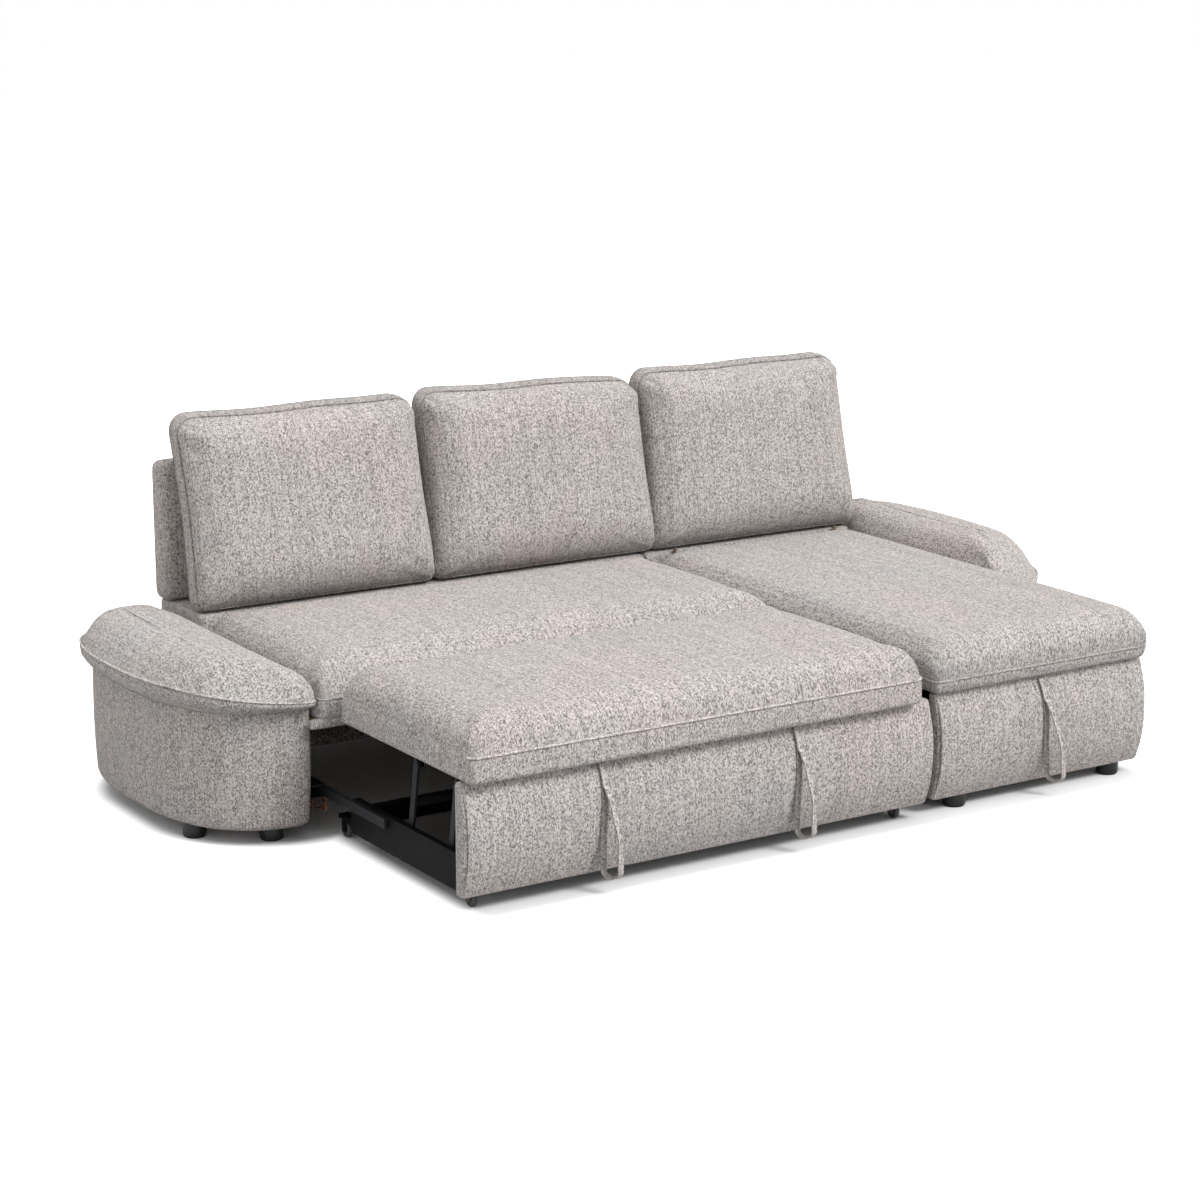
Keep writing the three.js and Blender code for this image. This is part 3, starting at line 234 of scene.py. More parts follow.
def chenille_group():
    """Chenille tweed: columns of short tufts, each tuft with a shade of its own.

    The cloth's lengths are cut into columns one yarn wide, and each column into tufts that
    start at a chance height. A tuft's shade is drawn from a ramp with a few dark and a few cream
    ones, and broad clouds lean it to warm or cool.
    """
    name = "chenille"
    if name in bpy.data.node_groups:
        return bpy.data.node_groups[name]
    tree, source, sink = new_group(
        name,
        [("Lay", "NodeSocketVector", None), ("Place", "NodeSocketVector", None),
         ("Cloth", "NodeSocketColor", (0.5, 0.5, 0.5, 1.0)),
         ("Warm", "NodeSocketColor", (0.5, 0.5, 0.5, 1.0)),
         ("Cool", "NodeSocketColor", (0.5, 0.5, 0.5, 1.0)),
         ("Yarn", "NodeSocketFloat", 0.004), ("Contrast", "NodeSocketFloat", 1.0)],
        [("Color", "NodeSocketColor"), ("Height", "NodeSocketFloat")])
    lay, place = source.outputs["Lay"], source.outputs["Place"]
    # columns one yarn wide, which wander a little, and the tufts that each is cut into
    wander = maths(tree, "MULTIPLY", noise(tree, lay, 26.0, 1.0), CLOTH["wander_yarns"])
    apart = add_node(tree, "ShaderNodeSeparateXYZ", {0: lay})
    column = maths(tree, "DIVIDE", apart.outputs[0], source.outputs["Yarn"])
    column = maths(tree, "ADD", column, wander)
    column_index = maths(tree, "FLOOR", column)
    start = maths(tree, "MULTIPLY", chance(tree, W=column_index), CLOTH["start_tufts"])
    tuft_length = maths(tree, "MULTIPLY", source.outputs["Yarn"], CLOTH["tuft_yarns"])
    tuft = maths(tree, "DIVIDE", apart.outputs[1], tuft_length)
    tuft = maths(tree, "ADD", tuft, start)
    tuft_index = maths(tree, "FLOOR", tuft)
    cell = add_node(tree, "ShaderNodeCombineXYZ", {0: column_index, 1: tuft_index, 2: 0.5})
    level = ramp(tree, chance(tree, Vector=cell.outputs[0]), CLOTH["tuft_shades"])
    # fine fuzz all over, and columns a little lighter or darker than their neighbours
    fuzz = noise(tree, lay, 900.0, 2.0, Roughness=0.7)
    fuzz_level = maths(tree, "MULTIPLY_ADD", fuzz, 0.5, 0.75)
    streak = chance(tree, W=maths(tree, "ADD", column_index, 0.37))
    streak_level = maths(tree, "MULTIPLY_ADD", streak, 0.16, 0.92)
    fuzz_level = maths(tree, "MULTIPLY", fuzz_level, streak_level)
    # broad clouds of warm and cool
    clouds = noise(tree, place, 3.2, 2.5, Roughness=0.55)
    lean = ramp(tree, clouds, [(0.38, 0.0), (0.62, 1.0)])
    tint = mixed(tree, lean, source.outputs["Cool"], source.outputs["Warm"])
    tint = mixed(tree, CLOTH["plain_share"], tint, source.outputs["Cloth"])
    grey = maths(tree, "MULTIPLY", level, maths(tree, "MULTIPLY", fuzz_level, CLOTH["gain"]))
    grey = maths(tree, "MULTIPLY_ADD", maths(tree, "SUBTRACT", grey, 1.0),
                 source.outputs["Contrast"], 1.0)
    result = mixed(tree, 1.0, tint, grey_colour(tree, grey), "MULTIPLY")
    across = maths(tree, "SINE", maths(tree, "MULTIPLY", maths(tree, "FRACT", column), math.pi))
    along = maths(tree, "SINE", maths(tree, "MULTIPLY", maths(tree, "FRACT", tuft), math.pi))
    height = maths(tree, "MULTIPLY", maths(tree, "POWER", across, 0.5),
                   maths(tree, "MULTIPLY_ADD", along, 0.5, 0.5))
    height = maths(tree, "MULTIPLY_ADD", fuzz, 0.35, height)
    tree.links.new(result, sink.inputs["Color"])
    tree.links.new(height, sink.inputs["Height"])
    return tree


def wear_group():
    """Dust and rubbing: a cloudy mask that lightens a finish and makes it duller"""
    name = "dust"
    dust_colour = (0.45, 0.43, 0.41, 1.0)
    if name in bpy.data.node_groups:
        return bpy.data.node_groups[name]
    tree, source, sink = new_group(
        name,
        [("Place", "NodeSocketVector", None), ("Color", "NodeSocketColor", (0.5, 0.5, 0.5, 1.0)),
         ("Dust", "NodeSocketFloat", 0.1), ("Roughness", "NodeSocketFloat", 0.5)],
        [("Color", "NodeSocketColor"), ("Roughness", "NodeSocketFloat"),
         ("Height", "NodeSocketFloat")])
    cloud = noise(tree, source.outputs["Place"], 9.0, 5.0)
    grain = noise(tree, source.outputs["Place"], 420.0, 2.0)
    mask = maths(tree, "MULTIPLY", ramp(tree, cloud, [(0.42, 0.0), (0.7, 1.0)]),
                 source.outputs["Dust"])
    pale = mixed(tree, mask, source.outputs["Color"], dust_colour)
    specks = grey_colour(tree, maths(tree, "MULTIPLY_ADD", grain, 0.3, 0.85))
    tree.links.new(mixed(tree, 1.0, pale, specks, "MULTIPLY"), sink.inputs["Color"])
    rough = maths(tree, "MULTIPLY_ADD", cloud, 0.2, source.outputs["Roughness"])
    tree.links.new(maths(tree, "SUBTRACT", rough, 0.1), sink.inputs["Roughness"])
    tree.links.new(grain, sink.inputs["Height"])
    return tree


def new_material(name):
    """Material with its nodes and its bare Principled BSDF, or with two Nones if it was made
    before"""
    name = f"{name}_look"
    if name in bpy.data.materials:
        return bpy.data.materials[name], None, None
    material = bpy.data.materials.new(name)
    material.use_nodes = True
    tree = material.node_tree
    return material, tree, tree.nodes["Principled BSDF"]


def with_alpha(rgb, factor=1.0):
    """Colour with an alpha of one, scaled in brightness"""
    return (rgb[0] * factor, rgb[1] * factor, rgb[2] * factor, 1.0)


def chenille(name="chenille"):
    """Upholstery cloth at the brightness its name has in CLOTH_SHADES: plain, a copy with a painted
    highlight, or copies with painted shade
    """
    material, tree, shader = new_material(name)
    if tree is None:
        return material
    look = colours()
    brightness = CLOTH_SHADES[name]
    coordinates = add_node(tree, "ShaderNodeTexCoord")
    cloth = add_node(tree, "ShaderNodeGroup", {
        "Lay": coordinates.outputs["UV"], "Place": coordinates.outputs["Object"],
        "Cloth": with_alpha(look.cloth, brightness),
        "Warm": with_alpha(look.cloth_warm, brightness),
        "Cool": with_alpha(look.cloth_cool, brightness),
        "Yarn": sizes().yarn_width, "Contrast": CLOTH["contrast"]}, node_tree=chenille_group())
    bump = add_node(tree, "ShaderNodeBump", {"Height": cloth.outputs["Height"],
                                             "Strength": 0.75, "Distance": 0.0012})
    tree.links.new(cloth.outputs["Color"], shader.inputs["Base Color"])
    tree.links.new(bump.outputs[0], shader.inputs["Normal"])
    shader.inputs["Roughness"].default_value = 0.95
    shader.inputs["Specular IOR Level"].default_value = 0.15
    shader.inputs["Sheen Weight"].default_value = 0.12
    shader.inputs["Sheen Roughness"].default_value = 0.5
    return material


def plain_finish(name, rgb, roughness, metallic=0.0, dust=0.1, bump_height=0.00005, shine=0.5):
    """Board, plastic or steel with dust in clouds and a fine grain"""
    material, tree, shader = new_material(name)
    if tree is None:
        return material
    coordinates = add_node(tree, "ShaderNodeTexCoord")
    wear = add_node(tree, "ShaderNodeGroup", {
        "Place": coordinates.outputs["Object"], "Color": with_alpha(rgb),
        "Dust": dust, "Roughness": roughness}, node_tree=wear_group())
    bump = add_node(tree, "ShaderNodeBump", {"Height": wear.outputs["Height"],
                                             "Strength": 0.5, "Distance": bump_height})
    tree.links.new(wear.outputs["Color"], shader.inputs["Base Color"])
    tree.links.new(wear.outputs["Roughness"], shader.inputs["Roughness"])
    tree.links.new(bump.outputs[0], shader.inputs["Normal"])
    shader.inputs["Metallic"].default_value = metallic
    shader.inputs["Specular IOR Level"].default_value = shine
    return material


def plywood_finish():
    """Bare plywood: streaks of grain along X, and faint plies up its thickness"""
    material, tree, shader = new_material("plywood")
    if tree is None:
        return material
    coordinates = add_node(tree, "ShaderNodeTexCoord")
    place = coordinates.outputs["Object"]
    spread = add_node(tree, "ShaderNodeMapping", {"Vector": place, "Scale": (1.2, 22.0, 22.0)})
    grain = noise(tree, spread.outputs[0], 2.2, 6.0, Distortion=0.6)
    bands = add_node(tree, "ShaderNodeTexWave", {"Vector": place, "Scale": 78.0},
                     bands_direction="Z").outputs[1]
    level = ramp(tree, grain, [(0.3, 0.62), (0.5, 0.92), (0.7, 1.0)])
    plies = ramp(tree, bands, [(0.4, 0.7), (0.6, 1.0)])
    wood = mixed(tree, 1.0, with_alpha(colours().plywood, 1.1), level, "MULTIPLY")
    wood = mixed(tree, 1.0, wood, plies, "MULTIPLY")
    tree.links.new(wood, shader.inputs["Base Color"])
    bump = add_node(tree, "ShaderNodeBump", {"Height": grain, "Strength": 0.3,
                                             "Distance": 0.0003})
    tree.links.new(bump.outputs[0], shader.inputs["Normal"])
    shader.inputs["Roughness"].default_value = 0.75
    return material


def finish_for(slot_name):
    """The finish of one of the record's board, plastic or steel slots"""
    if slot_name == "plywood":
        return plywood_finish()
    look = colours()
    kinds = {
        "black_board": dict(rgb=look.black_board, roughness=0.6, dust=0.006, shine=0.05),
        "grey_board": dict(rgb=look.grey_board, roughness=0.8, dust=0.1, shine=0.2),
        "black_plastic": dict(rgb=look.plastic, roughness=0.4, dust=0.05, bump_height=0.0001,
                              shine=0.25),
        "wheel": dict(rgb=look.rubber, roughness=0.55, dust=0.15),
        "grey_steel": dict(rgb=look.steel, roughness=0.6, dust=0.02, shine=0.15),
        "bright_steel": dict(rgb=look.rod, roughness=0.22, metallic=1.0, dust=0.04),
        "copper_steel": dict(rgb=look.copper, roughness=0.38, metallic=0.9, dust=0.05),
    }
    return plain_finish(slot_name, **kinds[slot_name])


def finish_node(node, finish):
    """Gives one of the frame's own nodes a finish"""
    materials = frame["nodes"][node].data.materials
    materials.clear()
    materials.append(finish_for(finish))


# Meshes
def new_piece(name, points, faces, uvs, material, subdivide=0):
    """Mesh object of the points and faces, with UVs in metres for each corner of each face"""
    mesh = bpy.data.meshes.new(name)
    mesh.from_pydata(np.asarray(points).tolist(), [], [list(face) for face in faces])
    layer = mesh.uv_layers.new(name="lay")
    layer.data.foreach_set("uv", np.asarray(uvs, np.float32).ravel())
    mesh.polygons.foreach_set("use_smooth", np.ones(len(mesh.polygons), bool))
    mesh.materials.append(material)
    mesh.update()
    piece = bpy.data.objects.new(name, mesh)
    bpy.context.scene.collection.objects.link(piece)
    if subdivide:
        modifier = piece.modifiers.new("fine", "SUBSURF")
        modifier.levels = subdivide
        modifier.render_levels = subdivide
    return piece


def dress(piece, body, slot_name, *nodes):
    """Fastens a piece to its body and hides the nodes that it stands for. The slot name is not used."""
    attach(piece, body)
    if nodes:
        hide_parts(*nodes)


def middle_and_half(low, high):
    """A box's middle and half its three sides"""
    low, high = np.array(low), np.array(high)
    return (low + high) / 2, (high - low) / 2


def cuts(low, high, near_low, near_high, step, rows=6):
    """Places from low to high: towards each end they close up as 1 - cos over a quarter turn,
    and between they are one step apart"""
    turn = np.linspace(0, math.pi / 2, rows + 1)
    first = low + near_low * (1 - np.cos(turn))
    last = high - near_high * (1 - np.cos(turn[::-1]))
    count = max(2, int(round((last[0] - first[-1]) / step)))
    middle = np.linspace(first[-1], last[0], count + 1)[1:-1]
    return np.concatenate([first, middle, last])


def box_grid(cut_lists):
    """Skin of a box, cut into quads at three lists of places.

    Each of its six sides is the grid of two lists at one end of the third, and the points that
    sides share are merged. Gives the points, the quads, and for each quad its axis and end."""
    counts = [len(places) for places in cut_lists]
    quads, sides = [], []
    for axis in range(3):
        first, second = (axis + 1) % 3, (axis + 2) % 3
        grid = np.meshgrid(np.arange(counts[first] - 1), np.arange(counts[second] - 1),
                           indexing="ij")
        for end, order in ((0, (0, 3, 2, 1)), (1, (0, 1, 2, 3))):
            corners = []
            for step_first, step_second in ((0, 0), (1, 0), (1, 1), (0, 1)):
                index = [None, None, None]
                index[axis] = np.full(grid[0].shape, end * (counts[axis] - 1))
                index[first] = grid[0] + step_first
                index[second] = grid[1] + step_second
                corners.append((index[0] * counts[1] + index[1]) * counts[2] + index[2])
            quads.append(np.stack([corners[k] for k in order], -1).reshape(-1, 4))
            sides.append(np.full((len(quads[-1]), 2), (axis, end)))
    keys, faces = np.unique(np.concatenate(quads), return_inverse=True)
    places = [keys // (counts[1] * counts[2]), keys // counts[2] % counts[1], keys % counts[2]]
    points = np.stack([np.asarray(cut_lists[k])[places[k]] for k in range(3)], -1)
    return points, faces.reshape(-1, 4), np.concatenate(sides)


def lay_cloth(flat, faces, sides, shift=(0.0, 0.0)):
    """UV of each quad's corners: on each side of the box, the two lengths that run across it.

    The points given are unrolled ones, in which a rolled edge has its length along the cloth."""
    corners = flat[faces]
    across = np.where(sides[:, 0] == 0, 1, 0)
    up = np.where(sides[:, 0] == 2, 1, 2)
    rows = np.arange(len(faces))[:, None]
    every = np.arange(4)[None, :]
    uv = np.stack([corners[rows, every, across[:, None]], corners[rows, every, up[:, None]]], -1)
    return uv.reshape(-1, 2) + np.asarray(shift)


def round_corners(x, y, half_x, half_y, radius):
    """Squares' corners pressed in to arcs: beyond the arc's centre a place's two lengths are
    scaled by the longer of them over their diagonal"""
    over_x = np.clip(np.abs(x) - half_x + radius, 0, None) / radius
    over_y = np.clip(np.abs(y) - half_y + radius, 0, None) / radius
    both = (over_x > 0) & (over_y > 0)
    diagonal = np.maximum(np.hypot(over_x, over_y), TINY)
    share = np.where(both, np.maximum(over_x, over_y) / diagonal, 1)
    x = np.sign(x) * np.where(both, half_x - radius + over_x * share * radius, np.abs(x))
    y = np.sign(y) * np.where(both, half_y - radius + over_y * share * radius, np.abs(y))
    return x, y


def rise(place, half, roll, fullness=2.3):
    """Height share of a padded face, by how far in from its edge a place is: a rounded quarter
    that ends flat one roll in"""
    inward = np.clip((half - np.abs(place)) / roll, 0, 1)
    return (1 - (1 - inward) ** fullness) ** (1 / fullness)


def ripples(x, y, seed):
    """Slight unevenness of stuffed cloth: four slow waves of chance direction, summed"""
    draws = np.random.default_rng(seed)
    total = np.zeros_like(x)
    for wave in (2.1, 3.4, 5.2, 8.3):
        turn, start = draws.uniform(0, 2 * math.pi, 2)
        total += np.sin((x * math.cos(turn) + y * math.sin(turn)) * wave * 2 + start) / wave
    return total


def dip(distance, depth, width):
    """Bell-shaped groove, as deep as given at no distance"""
    return depth * np.exp(-(distance / width) ** 2)


def tube(path, radius, closed=True, across=(0, 0, 1), sides=10):
    """Round cord along a path: a circle of points across it at each point. Open ends close on
    a point. Gives points, faces and UVs."""
    path = np.asarray(path, float)
    if closed:
        ahead = np.roll(path, -1, 0) - np.roll(path, 1, 0)
    else:
        ahead = np.gradient(path, axis=0)
    ahead /= np.linalg.norm(ahead, axis=1)[:, None]
    side = np.cross(ahead, np.asarray(across, float))
    side /= np.maximum(np.linalg.norm(side, axis=1), TINY)[:, None]
    up = np.cross(side, ahead)
    angle = np.linspace(0, 2 * math.pi, sides, endpoint=False)
    ring = side[:, None] * np.cos(angle)[None, :, None] + up[:, None] * np.sin(angle)[None, :, None]
    return ring_mesh(path[:, None] + ring * radius, wrap_rows=closed)


def sewn_cord(name, body, line, thick_share, cloth, **options):
    """Piping sewn along a line, as thick as a share of the sofa's piping"""
    cord = tube(line, sizes().piping_radius * thick_share, **options)
    dress(new_piece(name, *cord, chenille(cloth)), body, "upholstery")


def ring_mesh(rings, start=None, end=None, wrap_rows=False, uvs=None):
    """Closed surface through rings of points: quads between one ring and the next, and at each
    end a fan to a pole, which is the ring's middle unless it is given. Rings run anticlockwise
    seen from the last. UVs are the lengths round and along, unless each point has its own."""
    rings = np.asarray(rings, float)
    rows, count = rings.shape[:2]
    points = rings.reshape(-1, 3)
    round_steps = np.linalg.norm(np.diff(np.concatenate([rings, rings[:, :1]], 1), axis=1), axis=2)
    around = np.concatenate([np.zeros((rows, 1)), np.cumsum(round_steps, 1)], 1)
    around = np.broadcast_to(around.max(0), (rows, count + 1))
    last_row = rows if wrap_rows else rows - 1
    i, j = np.meshgrid(np.arange(last_row), np.arange(count), indexing="ij")
    i2, j2 = (i + 1) % rows, (j + 1) % count
    quads = np.stack([i * count + j, i * count + j2, i2 * count + j2, i2 * count + j], -1)
    quads = quads.reshape(-1, 4)
    steps = np.linalg.norm(np.diff(np.concatenate([rings, rings[:1]], 0), axis=0), axis=2).mean(1)
    along = np.concatenate([[0], np.cumsum(steps)])
    if uvs is None:
        quad_uv = np.stack([
            np.stack([around[i, j], along[i]], -1), np.stack([around[i, j + 1], along[i]], -1),
            np.stack([around[i, j + 1], along[i + 1]], -1),
            np.stack([around[i, j], along[i + 1]], -1),
        ], 2).reshape(-1, 2)
    else:
        quad_uv = np.asarray(uvs).reshape(-1, 2)[quads.ravel()]
    faces = quads.tolist()
    if wrap_rows:
        return points, faces, quad_uv
    columns = np.arange(count)
    after = (columns + 1) % count
    poles = [rings[0].mean(0) if start is None else start,
             rings[-1].mean(0) if end is None else end]
    first_fan = np.stack([np.full(count, len(points)), after, columns], -1)
    top = (rows - 1) * count
    last_fan = np.stack([np.full(count, len(points) + 1), top + columns, top + after], -1)
    every = np.concatenate([points, np.asarray(poles)])
    if uvs is None:
        fan_uv = np.concatenate([every[first_fan.ravel()][:, :2], every[last_fan.ravel()][:, :2]])
    else:
        flat = np.asarray(uvs).reshape(-1, 2)
        flat = np.concatenate([flat, flat[:count].mean(0)[None], flat[-count:].mean(0)[None]])
        fan_uv = np.concatenate([flat[first_fan.ravel()], flat[last_fan.ravel()]])
    faces += first_fan.tolist() + last_fan.tolist()
    return every, faces, np.concatenate([quad_uv, fan_uv])


def lathe(profile, axis_point, axis, turns=48):
    """Turned part: a profile of radii and lengths carried round an axis"""
    profile = np.asarray(profile, float)
    axis = np.asarray(axis, float)
    side = np.cross(axis, (0.0, 0.0, 1.0) if abs(axis[2]) < 0.9 else (1.0, 0.0, 0.0))
    side /= np.linalg.norm(side)
    up = np.cross(axis, side)
    angle = np.linspace(0, 2 * math.pi, turns, endpoint=False)
    circle = np.cos(angle)[:, None] * side + np.sin(angle)[:, None] * up
    rings = (np.asarray(axis_point, float) + profile[:, 1, None, None] * axis
             + profile[:, 0, None, None] * circle[None])
    return rings


def rounded_profile(corners, radius, steps=4):
    """Profile of radii and lengths whose inner corners are eased with short curves, each the
    blend of two straight runs"""
    corners = np.asarray(corners, float)
    result = [corners[0]]
    for before, corner, after in zip(corners[:-2], corners[1:-1], corners[2:]):
        reach_in = min(radius, np.linalg.norm(corner - before) / 2)
        reach_out = min(radius, np.linalg.norm(after - corner) / 2)
        start = corner + (before - corner) / np.linalg.norm(before - corner) * reach_in
        stop = corner + (after - corner) / np.linalg.norm(after - corner) * reach_out
        for share in np.linspace(0, 1, steps + 1):
            result.append((1 - share) ** 2 * start + 2 * share * (1 - share) * corner
                          + share ** 2 * stop)
    result.append(corners[-1])
    return np.array(result)


def joined_parts(parts):
    """Several meshes of points, faces and UVs as one"""
    points, faces, uvs = [], [], []
    start = 0
    for part_points, part_faces, part_uvs in parts:
        points.append(np.asarray(part_points))
        faces += [[start + index for index in face] for face in part_faces]
        uvs.append(np.asarray(part_uvs))
        start += len(part_points)
    return np.concatenate(points), faces, np.concatenate(uvs)


# A stitch: the gap after it, and how far along it its rings are and how thick there
STITCH_GAP_SHARE = 0.35
STITCH_RING_SHARES = ((0.0, 0.45), (0.3, 1.0), (0.7, 1.0), (1.0, 0.45))


def stitches(path, normal, stitch, thick=0.0013):
    """Row of thread stitches along a path: each is a short spindle of six sides and four rings,
    laid on the surface"""
    path = np.asarray(path, float)
    steps = np.linalg.norm(np.diff(path, axis=0), axis=1)
    travelled = np.concatenate([[0], np.cumsum(steps)])
    stride = stitch * (1 + STITCH_GAP_SHARE)
    count = int(travelled[-1] // stride)
    parts = []
    lengths, widths = np.array(STITCH_RING_SHARES).T * [[stitch], [thick]]
    for index in range(count):
        spots = [np.interp(index * stride + lengths, travelled, path[:, k]) for k in range(3)]
        line = np.stack(spots, -1)
        ahead = line[-1] - line[0]
        ahead /= np.linalg.norm(ahead)
        side = np.cross(ahead, normal)
        side /= np.linalg.norm(side)
        up = np.cross(side, ahead)
        angle = np.linspace(0, 2 * math.pi, 6, endpoint=False)
        circle = np.cos(angle)[:, None] * side + np.sin(angle)[:, None] * up
        parts.append(ring_mesh(line[:, None] + circle[None] * widths[:, None, None]))
    return joined_parts(parts)


# Padding
def inflate(piece, pinned, most, pressure=4.0, frames=20):
    """Fills a pad: a cloth simulation under inner pressure, without weight, holds the seams and
    lets the rest swell. How far a point may go is capped, and the result is kept in the mesh."""
    mesh = piece.data
    count = len(mesh.vertices)
    rest = np.zeros(count * 3, np.float32)
    mesh.vertices.foreach_get("co", rest)
    rest = rest.reshape(-1, 3)
    group = piece.vertex_groups.new(name="sewn")
    group.add(np.flatnonzero(pinned).tolist(), 1.0, "REPLACE")
    finer = [(modifier, modifier.show_viewport) for modifier in piece.modifiers]
    for modifier, _ in finer:
        modifier.show_viewport = False
    cloth = piece.modifiers.new("filling", "CLOTH")
    settings = cloth.settings
    settings.quality = 4
    settings.mass = 0.4
    settings.tension_stiffness = 25.0
    settings.compression_stiffness = 25.0
    settings.shear_stiffness = 12.0
    settings.bending_stiffness = 2.0
    settings.use_pressure = True
    settings.uniform_pressure_force = pressure
    settings.vertex_group_mass = group.name
    settings.pin_stiffness = 1.0
    settings.effector_weights.gravity = 0.0
    cloth.collision_settings.use_collision = False
    cloth.point_cache.frame_start = 1
    cloth.point_cache.frame_end = frames
    scene = bpy.context.scene
    for number in range(1, frames + 1):
        scene.frame_set(number)
    evaluated = piece.evaluated_get(bpy.context.evaluated_depsgraph_get())
    swollen = np.zeros(count * 3, np.float32)
    evaluated.data.vertices.foreach_get("co", swollen)
    shift = swollen.reshape(-1, 3) - rest
    size = np.linalg.norm(shift, axis=1)[:, None]
    shift *= np.tanh(size / most) * most / np.maximum(size, TINY)
    piece.modifiers.remove(cloth)
    piece.vertex_groups.remove(group)
    mesh.vertices.foreach_set("co", (rest + shift).ravel())
    mesh.update()
    for modifier, shown in finer:
        modifier.show_viewport = shown
    scene.frame_set(1)


class PadForm:
    """Seat-like pad in a box: a border band up to its welt, then a roll to a crowned top.

    Up the band the sides draw in at the seam, and towards the bottom by the undercut times the
    1.3th power of the way down. The top is the band's last row raised by the rise from each
    edge, with a low crown over the whole face and slow ripples."""

    band_step = 0.008
    seam_row_share = 0.4
    unrolled_share = 0.6
    undercut_power = 1.3
    crown_power = 0.7
    unevenness = 0.0016

    def __init__(self, node, welt, roll, crown=0.012, corner=0.035, seed=1, hem=0.008,
                 front_roll=None, bulge=0.006, front_slope=0.0, undercut=0.0):
        low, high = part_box(node)
        self.centre = np.array([(low.x + high.x) / 2, (low.y + high.y) / 2])
        self.half = np.array([(high.x - low.x) / 2, (high.y - low.y) / 2])
        self.bottom, self.top = low.z, high.z
        self.welt = low.z + welt
        self.roll, self.front_roll = roll, front_roll or roll
        self.crown, self.corner, self.hem = crown, corner, hem
        self.seed, self.bulge, self.front_slope = seed, bulge, front_slope
        self.undercut = undercut

    def grid(self):
        """The pad's skin before it is shaped, with its rows closest at the edges"""
        step = sizes().grid_step
        seam = sizes().seam_width
        x = cuts(-self.half[0], self.half[0], self.roll, self.roll, step)
        y = cuts(-self.half[1], self.half[1], self.front_roll, self.roll, step)
        band = self.welt - self.bottom
        z = np.concatenate([
            self.bottom + self.hem * (1 - np.cos(np.linspace(0, math.pi / 2, 4))),
            np.linspace(self.bottom + self.hem, self.welt, max(3, int(band / self.band_step)))[1:-1],
            [self.welt - seam * self.seam_row_share, self.welt],
        ])
        return box_grid([x, y, np.unique(np.round(z, 6))])

    def shape(self, points):
        """Places the skin's points. Gives them with the lengths used to lay the cloth."""
        x, y, z = points.T.copy()
        top = z > self.welt - NEAR
        across = rise(x, self.half[0], self.roll)
        depth_roll = np.where(y < 0, self.front_roll, self.roll)
        along = rise(y, self.half[1], depth_roll)
        height = across * along
        unrolled = np.stack([x, y, z], -1)
        climb = self.top - self.welt - self.crown
        for axis, share in ((0, across), (1, along)):
            extra = np.where(top, (1 - share) * climb * self.unrolled_share, 0)
            unrolled[:, axis] += np.sign(unrolled[:, axis]) * extra
        x, y = round_corners(x, y, self.half[0], self.half[1], self.corner)
        hem = self.hem * (1 - np.sin(np.clip((z - self.bottom) / self.hem, 0, 1) * math.pi / 2))
        seam = dip(z - self.welt, sizes().seam_depth, sizes().seam_width)
        swell = np.where(top, self.bulge * 4 * height * (1 - height), 0)
        down = np.clip((self.welt - z) / (self.welt - self.bottom), 0, 1)
        under = self.undercut * down ** self.undercut_power
        pull = np.where(top, seam * (1 - height) - swell, hem + seam + under)
        inner = self.half - self.corner
        out_x = x - np.clip(x, -inner[0], inner[0])
        out_y = y - np.clip(y, -inner[1], inner[1])
        reach = np.maximum(np.hypot(out_x, out_y), TINY)
        near = np.hypot(out_x, out_y) > NEAR
        x -= np.where(near, out_x / reach * pull, 0) + np.where(near, 0, hem * x / self.half[0])
        y -= np.where(near, out_y / reach * pull, 0) + np.where(near, 0, hem * y / self.half[1])
        u, v = points[:, 0] / self.half[0], points[:, 1] / self.half[1]
        crown = self.crown * ((1 - u ** 2) * (1 - v ** 2)) ** self.crown_power
        uneven = self.unevenness * ripples(x, y, self.seed) * height
        slope = self.front_slope * np.clip(-v, 0, 1) ** 2 * height
        lift = (self.top - self.crown - self.welt) * height + crown + uneven - slope
        z = np.where(top, self.welt + lift, z)
        return np.stack([x + self.centre[0], y + self.centre[1], z], -1), unrolled

    def welt_loop(self, lift=0.0, out=0.0, spacing=0.012):
        """The line of the welt round the pad, anticlockwise seen from above"""
        half = self.half - sizes().seam_depth + out
        return rounded_loop(half, self.corner, spacing, self.centre, self.welt + lift)

    def make(self, name, shift):
        """The finished pad, filled and subdivided once"""
        points, faces, sides = self.grid()
        placed, unrolled = self.shape(points)
        piece = new_piece(name, placed, faces, lay_cloth(unrolled, faces, sides, shift),
                          chenille(), subdivide=1)
        sewn = points[:, 2] < self.welt + NEAR
        interior = sewn & (points[:, 2] > self.welt - NEAR)
        edge = (np.abs(np.abs(points[:, 0]) - self.half[0]) < NEAR) | (
            np.abs(np.abs(points[:, 1]) - self.half[1]) < NEAR)
        inflate(piece, (sewn & ~interior) | (interior & edge), sizes().puff)
        return piece


def rounded_loop(half, corner, spacing, centre, height):
    """Rounded rectangle as a closed line of points, anticlockwise"""
    quarter = np.linspace(0, math.pi / 2, 7)
    loop = []
    for turn, sign_x, sign_y in ((0, 1, 1), (1, -1, 1), (2, -1, -1), (3, 1, -1)):
        angle = quarter + turn * math.pi / 2
        middle = np.array([sign_x, sign_y]) * (np.asarray(half) - corner)
        loop.append(middle + corner * np.stack([np.cos(angle), np.sin(angle)], -1))
    loop = np.concatenate(loop)
    loop = even_loop(loop, spacing) + np.asarray(centre)
    return np.concatenate([loop, np.full((len(loop), 1), height)], 1)


